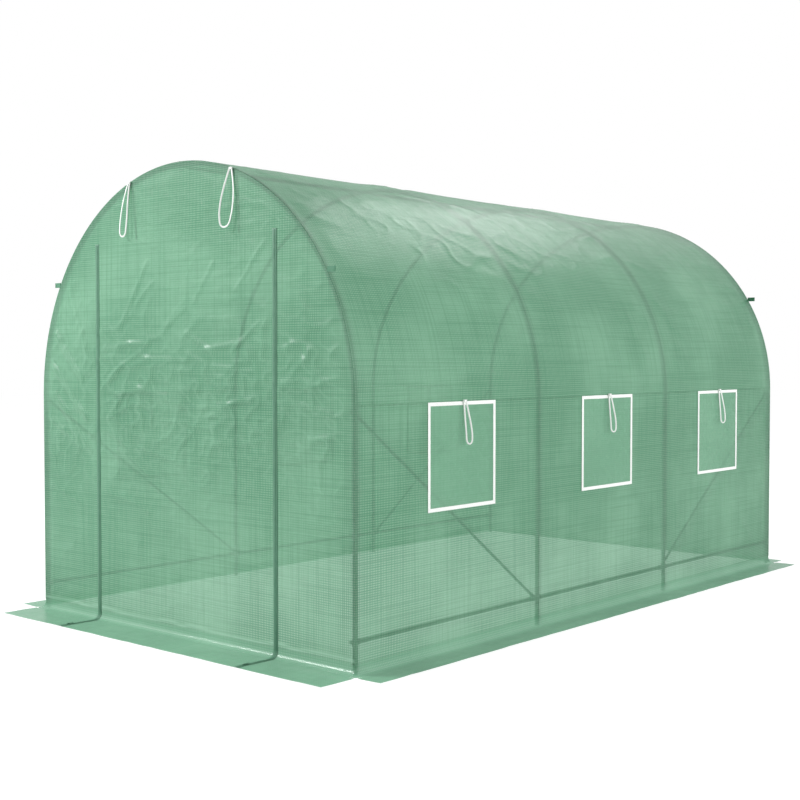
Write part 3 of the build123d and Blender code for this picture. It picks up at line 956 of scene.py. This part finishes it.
# Door zips: a tape down each side of the door and out over the skirt, with a raised coil
zipper = {
    "tape": 0.026, "tapeThick": 0.0007, "coil": 0.0066, "coilBase": 0.0008, "coilHeight": 0.0026,
    "proud": 0.0006, "pitch": 0.0026, "x": 0.580,
}


def zipSection(down):
    # along the zip, down the wall and over the turned skirt: (out from the wall's plane, height)
    wall = front["doorTop"] - skirt["top"]
    if down < wall:
        return (0.0, front["doorTop"] - down)
    out, height = skirtSection(down - wall)
    return (out + 0.001, height)


def zipPlace(side, lift):
    def place(a, down):
        x = side * zipper["x"] + a
        out, height = zipSection(down)
        proud = zipper["proud"] + lift(a, down)
        wall = front["doorTop"] - skirt["top"]
        tilt = min(pi / 2, max(0, (down - wall - skirt["upstand"]) / skirt["curve"]))
        relief = frontRelief(x, height) if down < wall else 0
        flat = down - wall - skirt["upstand"] - skirt["curve"] * pi / 2
        if flat > 0:
            relief = skirtWave(x, frontEdge - out, down - wall, longReach)
        reach = (proud + relief) * cos(tilt)
        rise = (proud + relief) * sin(tilt)
        return (x, tunnel["frontY"] - out - reach, height + rise)
    return place


zipLength = front["doorTop"] - skirt["top"] + skirtLength(longReach)
for side, word in bothSides:
    tapeSheet = drawSheet("zipTape", steps((-zipper["tape"] / 2, zipper["tape"] / 2), 0.0052),
                          steps((0, zipLength), 0.010), zipPlace(side, lambda a, down: 0))
    faceOut(tapeSheet, (0, -1, 0))
    shapeWith(tapeSheet, "SOLIDIFY", thickness=zipper["tapeThick"], offset=1)

    def coilLift(a, down):
        # a half-round row of teeth, with a groove down its middle
        share = abs(a) / (zipper["coil"] / 2)
        dome = sqrt(max(0, 1 - share**2))
        tooth = 0.5 + 0.5 * cos(2 * pi * (down / zipper["pitch"] + (0.5 if a > 0 else 0)))
        groove = exp(-(a / 0.0007) ** 2)
        base = zipper["coilBase"]
        rise = (zipper["coilHeight"] - base) * dome * (0.72 + 0.28 * tooth)
        return base + rise * (1 - 0.35 * groove)

    coilSheet = drawSheet("zipCoil", steps((-zipper["coil"] / 2, zipper["coil"] / 2), zipper["coil"] / 10),
                          steps((0.004, zipLength - 0.006), zipper["pitch"] / 3), zipPlace(side, coilLift))
    faceOut(coilSheet, (0, -1, 0))
    zipPiece = joinPieces([tapeSheet, coilSheet], "doorZip" + word)
    finishPiece(zipPiece, "zip_tape", ("door_zips",))

# Zip sliders: the zips are shut, so each is near its outer end, with its pull lying on the skirt
slider = {
    "body": (0.0092, 0.0125, 0.0046), "crown": (0.0030, 0.0086, 0.0018),
    "pull": (0.0078, 0.0240, 0.0015), "fromEnd": 0.040, "lift": 0.0022, "crownRise": 0.0006,
    "pullReach": 0.0150,
}


def drawBlock(size, place, rounding):
    deselectAll()
    bpy.ops.mesh.primitive_cube_add(size=1, location=place)
    block = bpy.context.object
    block.scale = size
    placeInMesh(block)
    pickFaces(block, lambda face: face.normal.z > 0.9)
    bpy.ops.mesh.inset(thickness=min(size[:2]) * 0.22)
    bpy.ops.transform.translate(value=(0, 0, -size[2] * 0.16))
    bpy.ops.object.mode_set(mode="OBJECT")
    shapeWith(block, "BEVEL", width=rounding, segments=3)
    return block


for side, word in bothSides:
    x, y, z = zipPlace(side, lambda a, down: 0)(0, zipLength - slider["fromEnd"])
    z += slider["lift"]
    crownZ = z + slider["body"][2] / 2 + slider["crownRise"]
    parts = [
        drawBlock(slider["body"], (x, y, z), 0.0011),
        drawBlock(slider["crown"], (x, y, crownZ), 0.0006),
        drawBlock(slider["pull"], (x, y + slider["pullReach"], crownZ), 0.0005),
    ]
    sliderPiece = joinPieces(parts, "zipSlider" + word)
    smoothPiece(sliderPiece, 40)
    finishPiece(sliderPiece, "zip_tape", ("door_zips",))
print("zips sewn")

# Patches sewn over the ends of the ties: a block of tape with three rows of stitches
tack = {
    "width": 0.0165, "doorThick": 0.0062, "windowThick": 0.0094, "height": 0.0090,
    "drop": 0.0030, "stitch": 0.0003, "rounding": 0.0006,
}


def drawTack(name, spot, turn, thick):
    deselectAll()
    bpy.ops.mesh.primitive_cube_add(size=1)
    patch = bpy.context.object
    patch.name = name
    patch.scale = (tack["width"], thick, tack["height"])
    placeInMesh(patch)
    bpy.ops.object.mode_set(mode="EDIT")
    bpy.ops.mesh.select_all(action="SELECT")
    bpy.ops.mesh.subdivide(number_cuts=2)
    pickFaces(patch, lambda face: abs(face.normal.y) > 0.9)
    bpy.ops.mesh.inset(thickness=0.0005, use_individual=True)
    bpy.ops.mesh.inset(thickness=0.0004, depth=tack["stitch"], use_individual=True)
    bpy.ops.object.mode_set(mode="OBJECT")
    shapeWith(patch, "BEVEL", width=tack["rounding"], segments=2, limit_method="ANGLE",
              angle_limit=radians(60))
    smoothPiece(patch, 40)
    patch.rotation_euler.z = turn
    patch.location = spot
    return patch


doorTacks = [
    drawTack("tack", (side * 0.333 - 0.0042, -1.7225, 1.9656 - tack["drop"]), 0, tack["doorThick"])
    for side in (-1, 1)
]
finishPiece(joinPieces(doorTacks, "doorTieTacks"), "white_tape", ("door_ties",))
windowTacks = [
    drawTack("tack", (side * 1.0229, y + 0.0030, 1.021 - tack["drop"]), radians(90),
             tack["windowThick"])
    for side in (-1, 1) for y in tunnel["windowYs"]
]
finishPiece(joinPieces(windowTacks, "windowTieTacks"), "white_tape", ("window_ties",))
print("tie ends sewn")

# Windows: a flap outside each opening, a screen inside it, and a mitred frame of white tape
flap = {
    "x": 1.0129, "pitch": 0.012, "frameX": 1.0138, "frameThick": 0.0011, "frameWide": 0.0152,
    "frameRounding": 0.0003, "screenX": 1.0092, "screenPitch": 0.03, "screenLap": 0.008,
}


def flapPlace(side, centre):
    def place(y, z):
        out = max(abs(y - centre) / (window["width"] / 2),
                  abs(z - window["centreZ"]) / (window["height"] / 2))
        free = ease((0.93 - out) / 0.25)
        puff = 0.0016 * noise.noise(Vector((y * 4, z * 4, centre * 3 + side)))
        puff += 0.0010 * ridge(y * 6, z * 9, centre + side, 2.5)
        return (side * (flap["x"] + free * puff), y, z)
    return place


def screenPlace(side):
    def place(y, z):
        slack = 0.0006 * (1 + noise.noise(Vector((y * 5, z * 5, 1))))
        return (side * (flap["screenX"] - slack), y, z)
    return place


def drawFrame(side, centre):
    deselectAll()
    bpy.ops.mesh.primitive_plane_add(size=1, rotation=(0, side * radians(90), 0),
                                     location=(side * flap["frameX"], centre, window["centreZ"]))
    piece = bpy.context.object
    piece.scale = (window["height"], window["width"], 1)
    placeInMesh(piece)
    bpy.ops.object.mode_set(mode="EDIT")
    bpy.ops.mesh.select_mode(type="FACE")
    bpy.ops.mesh.select_all(action="SELECT")
    bpy.ops.mesh.inset(thickness=flap["frameWide"], use_even_offset=True)
    bpy.ops.mesh.delete(type="FACE")
    bpy.ops.mesh.select_all(action="SELECT")
    bpy.ops.mesh.inset(thickness=0.0018, use_individual=True, use_even_offset=True)
    bpy.ops.mesh.inset(thickness=0.0006, depth=0.0003, use_individual=True, use_even_offset=True)
    bpy.ops.object.mode_set(mode="OBJECT")
    shapeWith(piece, "SOLIDIFY", thickness=flap["frameThick"], offset=0)
    shapeWith(piece, "BEVEL", width=flap["frameRounding"], segments=2, limit_method="ANGLE")
    smoothPiece(piece, 40)
    return piece


for side, word in bothSides:
    frames = []
    for number, centre in enumerate(tunnel["windowYs"], 1):
        halfW, halfH = window["width"] / 2 - 0.001, window["height"] / 2 - 0.001
        sheet = drawSheet(
            f"windowFlap{word}{number}", steps((centre - halfW, centre + halfW), flap["pitch"]),
            steps((window["centreZ"] - halfH, window["centreZ"] + halfH), flap["pitch"]),
            flapPlace(side, centre),
        )
        faceOut(sheet, (side, 0, 0))
        finishPiece(sheet, "window_cloth", ("window_flaps",))
        frames.append(drawFrame(side, centre))
        wide, tall = openHalfWidth + flap["screenLap"], openHalfHeight + flap["screenLap"]
        screen = drawSheet(
            f"windowScreen{word}{number}", steps((centre - wide, centre + wide), flap["screenPitch"]),
            steps((window["centreZ"] - tall, window["centreZ"] + tall), flap["screenPitch"]),
            screenPlace(side),
        )
        faceOut(screen, (side, 0, 0))
        finishPiece(screen, "window_mesh", ("window_screens",))
    finishPiece(joinPieces(frames, "windowFrames" + word), "white_tape", ("window_tapes",))
print("windows drawn")

# Guy tabs: webbing doubled into a flat loop that stands out of the end seam
tab = {"angle": 31, "length": 0.042, "width": 0.022, "thickness": 0.0011, "gap": 0.0008, "inset": 0.0007}


def drawTab(name, side, y, inward):
    deselectAll()
    x = 1.012 * cos(radians(tab["angle"]))
    z = tunnel["legHeight"] + 1.012 * sin(radians(tab["angle"]))
    bpy.ops.mesh.primitive_plane_add(size=1, rotation=(radians(90), 0, 0), location=(0, 0, 0))
    piece = bpy.context.object
    piece.name = name
    piece.scale = (tab["length"], tab["width"], 1)
    placeInMesh(piece)
    bpy.ops.object.mode_set(mode="EDIT")
    bpy.ops.mesh.subdivide(number_cuts=6)
    bpy.ops.mesh.select_mode(type="EDGE")
    bpy.ops.mesh.select_all(action="DESELECT")
    bpy.ops.object.mode_set(mode="OBJECT")
    edgeX = tab["length"] / 2
    for edge in piece.data.edges:
        ends = [piece.data.vertices[index].co.x for index in edge.vertices]
        edge.select = all(abs(end - edgeX) < 0.0001 for end in ends)
    bpy.ops.object.mode_set(mode="EDIT")
    bpy.ops.mesh.spin(steps=6, angle=pi, center=(edgeX, tab["gap"], 0), axis=(0, 0, 1))
    bpy.ops.mesh.extrude_region_move(TRANSFORM_OT_translate={"value": (-tab["length"], 0, 0)})
    bpy.ops.object.mode_set(mode="OBJECT")
    closeUp(piece)
    shapeWith(piece, "SOLIDIFY", thickness=tab["thickness"], offset=0)
    smoothPiece(piece, 40)
    piece.scale.x = side
    piece.location = (side * (x + tab["length"] / 2), y + inward * tab["inset"], z)
    placeInMesh(piece)
    closeUp(piece, 0.000001)
    return piece


tabs = [
    drawTab("guyTab", side, y, inward)
    for side in (-1, 1) for y, inward in ((frontEdge, 1), (rearEdge, -1))
]
guyTabs = finishPiece(joinPieces(tabs, "guyTabs"), "edge_tape", ("guy_tabs",))
print("guy tabs drawn", [round(v, 4) for v in guyTabs.dimensions])

# Inner straps, which hold the rolled door and windows from inside and show through the cloth
strap = {"width": 0.012, "thickness": 0.0012, "doorDrop": 0.235, "windowDrop": 0.180}


def drawStrap(drop, top, lean, facing):
    # a strip hanging from its top, with its flat towards the wall
    deselectAll()
    bpy.ops.mesh.primitive_plane_add(size=1, rotation=(radians(90), 0, 0), location=(0, 0, -drop / 2))
    piece = bpy.context.object
    piece.scale = (strap["width"], drop, 1)
    placeInMesh(piece)
    bpy.ops.object.mode_set(mode="EDIT")
    bpy.ops.mesh.subdivide(number_cuts=9)
    bpy.ops.object.mode_set(mode="OBJECT")
    for vertex in piece.data.vertices:
        share = -vertex.co.z / drop
        vertex.co.x += lean * share
        vertex.co.y += 0.0014 * sin(pi * share)
    shapeWith(piece, "SOLIDIFY", thickness=strap["thickness"], offset=0)
    smoothPiece(piece, 40)
    piece.matrix_world = Matrix.Translation(Vector(top)) @ Matrix.Rotation(facing, 4, "Z")
    placeInMesh(piece)
    return piece


straps = [
    drawStrap(strap["doorDrop"], (-0.322, -1.7138, 1.945), 0.026, 0),
    drawStrap(strap["doorDrop"], (0.359, -1.7138, 1.931), 0.013, 0),
]
for side in (-1, 1):
    for y in tunnel["windowYs"]:
        top = (side * 1.0066, y - 0.012, 1.012)
        straps.append(drawStrap(strap["windowDrop"], top, -0.004, side * radians(90)))
finishPiece(joinPieces(straps, "innerStraps"), "edge_tape")
print("inner straps hung")


# Materials
def startMaterial(name):
    material = bpy.data.materials.new(name)
    material.use_nodes = True
    material.node_tree.nodes.clear()
    return material, material.node_tree


def plug(tree, value, socket):
    # a number or a colour is set on the socket itself, and anything else is linked to it
    if isinstance(value, (int, float)):
        socket.default_value = value
    elif isinstance(value, tuple):
        socket.default_value = (*value, 1)
    else:
        tree.links.new(value, socket)


def newNode(tree, kind, values):
    node = tree.nodes.new("ShaderNode" + kind)
    for name, value in values.items():
        plug(tree, value, node.inputs[name])
    return node


def mathNode(tree, operation, *values):
    node = newNode(tree, "Math", dict(enumerate(values)))
    node.operation = operation
    return node.outputs[0]


def rangeNode(tree, value, fromLow, fromHigh, toLow, toHigh, smooth=True):
    node = newNode(tree, "MapRange", {
        "Value": value, "From Min": fromLow, "From Max": fromHigh, "To Min": toLow, "To Max": toHigh,
    })
    node.interpolation_type = "SMOOTHSTEP" if smooth else "LINEAR"
    return node.outputs["Result"]


def noiseNode(tree, vector, scale, detail=2.0, roughness=0.5):
    values = {"Vector": vector, "Scale": scale, "Detail": detail, "Roughness": roughness}
    return newNode(tree, "TexNoise", values).outputs["Fac"]


def mixColours(tree, share, first, second):
    node = tree.nodes.new("ShaderNodeMix")
    node.data_type = "RGBA"
    for index, value in (("Factor", share), (6, first), (7, second)):
        plug(tree, value, node.inputs[index])
    return node.outputs[2]


def mixShaders(tree, share, first, second):
    return newNode(tree, "MixShader", {0: share, 1: first, 2: second}).outputs[0]


def bumpNode(tree, height, strength, distance):
    values = {"Height": height, "Strength": strength, "Distance": distance}
    return newNode(tree, "Bump", values).outputs["Normal"]


def closeTree(tree, surface, kind="Material"):
    newNode(tree, "Output" + kind, {"Surface": surface})


def clothMap(tree):
    threads = tree.nodes.new("ShaderNodeUVMap")
    threads.uv_map = "cloth"
    return threads.outputs["UV"]


def threadLines(tree, vector, pitch, near, far, nearValue, farValue):
    # one value for each way the threads run, from the distance to the nearest thread
    parts = newNode(tree, "SeparateXYZ", {0: vector})
    lines = []
    for axis in ("X", "Y"):
        gap = mathNode(tree, "PINGPONG", parts.outputs[axis], pitch / 2)
        lines.append(rangeNode(tree, gap, near, far, nearValue, farValue))
    return lines


# The cover's woven sheet: a net of thicker threads laminated between films, so light passes
# through it, a little is seen through it, and it shines where the film is taut
coverLook = {
    "name": "wovenCover", "field": (0.300, 0.515, 0.375), "thread": (0.080, 0.250, 0.148),
    "clear": 0.30, "threadClear": 0.08, "tint": (0.66, 0.90, 0.75), "netPitch": 0.0092,
    "netWidth": 0.0027, "weavePitch": 0.0023, "through": 0.42, "roughness": 0.36, "shine": 0.28,
    "coat": 0.32, "coatRoughness": 0.075, "filmBump": 0.6, "filmRise": 0.0022,
    # the pale colour at the end and its share: crease whitening with a painted highlight on the creases, and a
    # painted highlight along the wall's foot
    "netRise": 0.00022, "weaveRise": 0.00010, "creaseWhiteningAndHighlight": (0.46, 0.72, 0.56), "creaseWhiteningAndHighlightShare": 0.45,
}
skirtLook = dict(coverLook, name="skirtCloth", field=(0.215, 0.425, 0.290), thread=(0.12, 0.32, 0.20),
                 clear=0.15, threadClear=0.10, roughness=0.34, filmBump=0.35)
flapLook = dict(coverLook, name="windowCloth", field=(0.290, 0.520, 0.375), thread=(0.19, 0.42, 0.28),
                clear=0.24, threadClear=0.16, roughness=0.26, filmBump=0.3)


def wovenCloth(look):
    material, tree = startMaterial(look["name"])
    threads = clothMap(tree)
    place = tree.nodes.new("ShaderNodeTexCoord").outputs["Object"]
    width, fine = look["netWidth"], look["weavePitch"]
    net = mathNode(tree, "MAXIMUM",
                   *threadLines(tree, threads, look["netPitch"], width * 0.35, width * 0.75, 1, 0))
    weave = mathNode(tree, "MULTIPLY", *threadLines(tree, threads, fine, 0, fine / 2, 0, 1))
    cloud = noiseNode(tree, place, 2.2, 3)
    dust = noiseNode(tree, place, 14, 4, 0.6)
    pale = tuple(min(1, value * 1.22 + 0.02) for value in look["field"])
    dark = tuple(value * 0.72 for value in look["field"])
    colour = mixColours(tree, net, look["field"], look["thread"])
    colour = mixColours(tree, rangeNode(tree, cloud, 0.35, 0.75, 0, 0.40), colour, pale)
    for squeeze in ((130, 1.6, 1), (1.6, 130, 1)):
        # single threads that run a little darker for a way
        stretch = newNode(tree, "Mapping", {"Vector": threads})
        stretch.inputs["Scale"].default_value = squeeze
        streak = noiseNode(tree, stretch.outputs[0], 1, 1)
        colour = mixColours(tree, rangeNode(tree, streak, 0.45, 0.75, 0, 0.30), colour, look["thread"])
    # paler where the sheet's own attribute says: film whitening with a painted highlight on the creases, and a
    # painted highlight along the wall's foot
    paler = tree.nodes.new("ShaderNodeAttribute")
    paler.attribute_name = "creaseWhiteningAndHighlight"
    creaseWhiteningAndHighlightShare = mathNode(tree, "MULTIPLY", paler.outputs["Fac"], look["creaseWhiteningAndHighlightShare"])
    colour = mixColours(tree, creaseWhiteningAndHighlightShare, colour, look["creaseWhiteningAndHighlight"])
    colour = mixColours(tree, rangeNode(tree, dust, 0.52, 0.80, 0, 0.25), colour, dark)
    film = mathNode(tree, "SUBTRACT", noiseNode(tree, place, 34, 4, 0.55), 0.5)
    height = mathNode(tree, "MULTIPLY", mathNode(tree, "ABSOLUTE", film), look["filmRise"])
    height = mathNode(tree, "MULTIPLY_ADD", net, look["netRise"], height)
    height = mathNode(tree, "MULTIPLY_ADD", weave, look["weaveRise"], height)
    bump = bumpNode(tree, height, look["filmBump"], 1.0)
    rough = rangeNode(tree, dust, 0.3, 0.8, look["roughness"] - 0.05, look["roughness"] + 0.12)
    front = newNode(tree, "BsdfPrincipled", {
        "Base Color": colour, "Roughness": rough, "Normal": bump, "Specular IOR Level": look["shine"],
        "Coat Weight": look["coat"], "Coat Roughness": look["coatRoughness"], "Coat Normal": bump,
    })
    back = newNode(tree, "BsdfTranslucent", {"Color": colour, "Normal": bump})
    solid = mixShaders(tree, look["through"], front.outputs[0], back.outputs[0])
    clear = newNode(tree, "BsdfTransparent", {"Color": look["tint"]})
    clearShare = rangeNode(tree, net, 0, 1, look["clear"], look["threadClear"], False)
    closeTree(tree, mixShaders(tree, clearShare, solid, clear.outputs[0]))
    return material


paintLook = {
    "coat": (0.010, 0.095, 0.050), "paler": (0.06, 0.16, 0.10), "steel": (0.30, 0.30, 0.29),
    "roughness": 0.48,
}


def powderCoat():
    # dark green powder coat with its fine orange peel, rubbed a little to bare steel
    material, tree = startMaterial("powderCoat")
    place = tree.nodes.new("ShaderNodeTexCoord").outputs["Object"]
    patch = noiseNode(tree, place, 7, 3)
    rub = noiseNode(tree, place, 46, 5, 0.68)
    peel = noiseNode(tree, place, 900, 2)
    dull = rangeNode(tree, patch, 0.4, 0.75, 0, 0.35)
    colour = mixColours(tree, dull, paintLook["coat"], paintLook["paler"])
    colour = mixColours(tree, rangeNode(tree, rub, 0.68, 0.76, 0, 0.7), colour, paintLook["steel"])
    rough = paintLook["roughness"]
    shader = newNode(tree, "BsdfPrincipled", {
        "Base Color": colour, "Normal": bumpNode(tree, peel, 0.3, 0.0002),
        "Roughness": rangeNode(tree, patch, 0.3, 0.7, rough - 0.06, rough + 0.10),
    })
    closeTree(tree, shader.outputs[0])
    return material


def webbing(name, colour, shadeAndSoil, pitch, roughness):
    # a ribbed tape: fine diagonal threads with painted shade in the grooves between them, and a little wear and
    # soil
    material, tree = startMaterial(name)
    place = tree.nodes.new("ShaderNodeTexCoord").outputs["Object"]
    parts = newNode(tree, "SeparateXYZ", {0: place})
    level = mathNode(tree, "ADD", parts.outputs["X"], parts.outputs["Y"])
    ribs = []
    for operation in ("ADD", "SUBTRACT"):
        slant = mathNode(tree, operation, level, parts.outputs["Z"])
        wave = mathNode(tree, "PINGPONG", slant, pitch / 2)
        ribs.append(rangeNode(tree, wave, 0, pitch / 2, 0, 1))
    twill = mathNode(tree, "MULTIPLY", *ribs)
    soil = noiseNode(tree, place, 26, 4, 0.6)
    # painted shade in the grooves between the ribs
    shade = mixColours(tree, rangeNode(tree, twill, 0, 0.7, 0.55, 0), colour, shadeAndSoil)
    # soil darkens it in patches toward the same colour
    shade = mixColours(tree, rangeNode(tree, soil, 0.5, 0.8, 0, 0.35), shade, shadeAndSoil)
    shader = newNode(tree, "BsdfPrincipled", {
        "Base Color": shade, "Sheen Weight": 0.15, "Normal": bumpNode(tree, twill, 0.6, 0.0003),
        "Roughness": rangeNode(tree, soil, 0.3, 0.8, roughness - 0.08, min(1, roughness + 0.1)),
    })
    closeTree(tree, shader.outputs[0])
    return material


screenLook = {"thread": (0.62, 0.70, 0.64), "pitch": 0.0016, "near": 0.00016, "far": 0.00030}


def insectScreen():
    # a fine net, mostly holes
    material, tree = startMaterial("insectScreen")
    threads = clothMap(tree)
    net = mathNode(tree, "MAXIMUM", *threadLines(
        tree, threads, screenLook["pitch"], screenLook["near"], screenLook["far"], 1, 0))
    fray = noiseNode(tree, threads, 30, 3)
    dull = tuple(value * 0.7 for value in screenLook["thread"])
    shader = newNode(tree, "BsdfPrincipled", {
        "Base Color": mixColours(tree, fray, screenLook["thread"], dull),
        "Roughness": rangeNode(tree, fray, 0.3, 0.7, 0.5, 0.7),
    })
    clear = newNode(tree, "BsdfTransparent", {})
    share = rangeNode(tree, net, 0, 1, 0.93, 0.1, False)
    closeTree(tree, mixShaders(tree, share, shader.outputs[0], clear.outputs[0]))
    return material


bySlot = {
    "cover_cloth": wovenCloth(coverLook), "skirt_cloth": wovenCloth(skirtLook),
    "window_cloth": wovenCloth(flapLook), "frame_tube": powderCoat(),
    "white_tape": webbing("whiteTape", (0.93, 0.94, 0.92), (0.74, 0.77, 0.74), 0.0011, 0.75),
    "edge_tape": webbing("greenTape", (0.045, 0.205, 0.105), (0.022, 0.110, 0.058), 0.0014, 0.70),
    "zip_tape": webbing("zipTape", (0.050, 0.190, 0.105), (0.026, 0.110, 0.062), 0.0010, 0.60),
    "window_mesh": insectScreen(),
}
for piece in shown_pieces():
    if "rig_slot" in piece:
        piece.data.materials.clear()
        piece.data.materials.append(bySlot[piece["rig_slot"]])
print("materials set")

# Floor, world and lamps
studio = {"floor": (0.80, 0.80, 0.80), "floorGlow": 0.62, "glowLight": 1.32, "world": 0.60}


def seenAtAll(tree):
    # 1 where the eye meets it straight, in a shine or through the cloth
    path = tree.nodes.new("ShaderNodeLightPath").outputs
    seen = mathNode(tree, "MAXIMUM", path["Is Camera Ray"], path["Is Glossy Ray"])
    return mathNode(tree, "MAXIMUM", seen, path["Is Transmission Ray"])


deselectAll()
bpy.ops.mesh.primitive_plane_add(size=60, location=(0, 0, -0.0006))
floor = bpy.context.object
floor.name = "studioFloor"
floorMaterial, tree = startMaterial("paleFloor")
matt = newNode(tree, "BsdfDiffuse", {"Color": studio["floor"]})
glow = newNode(tree, "Emission", {"Strength": studio["glowLight"]})
share = mathNode(tree, "MULTIPLY", seenAtAll(tree), studio["floorGlow"])
closeTree(tree, mixShaders(tree, share, matt.outputs[0], glow.outputs[0]))
floor.data.materials.append(floorMaterial)

world = bpy.data.worlds.new("studioWorld")
bpy.context.scene.world = world
world.use_nodes = True
tree = world.node_tree
tree.nodes.clear()
strength = mathNode(tree, "MULTIPLY_ADD", seenAtAll(tree), 1 - studio["world"], studio["world"])
light = newNode(tree, "Background", {"Color": (1, 1, 1), "Strength": strength})
closeTree(tree, light.outputs[0], "World")

lamps = {
    "doorLamp": {"spot": (-4.6, -5.6, 5.2), "aim": (0, -1.7, 1.2), "size": (2.2, 2.2), "power": 700},
    "sideLamp": {"spot": (8.5, 1.5, 2.9), "aim": (1, 0, 0.8), "size": (5.0, 3.0), "power": 370},
    "roofLamp": {"spot": (-0.74, 6.63, 7.35), "aim": (0.68, -0.95, 1.72), "size": (5.2, 2.3), "power": 180,
                 "along": (-0.995, 0.017, -0.094)},
}
for name, lamp in lamps.items():
    deselectAll()
    bpy.ops.object.light_add(type="AREA", location=lamp["spot"])
    lampObject = bpy.context.object
    lampObject.name = name
    lampObject.data.shape = "RECTANGLE"
    lampObject.data.size, lampObject.data.size_y = lamp["size"]
    lampObject.data.energy = lamp["power"]
    back = (Vector(lamp["spot"]) - Vector(lamp["aim"])).normalized()
    rise = back.cross(Vector(lamp.get("along", (back.y, -back.x, 0)))).normalized()
    turned = Matrix((rise.cross(back), rise, back)).transposed()
    lampObject.rotation_euler = turned.to_euler()
    lampObject.visible_camera = False
print("lights set")

bpy.context.scene.view_settings.view_transform = "Standard"
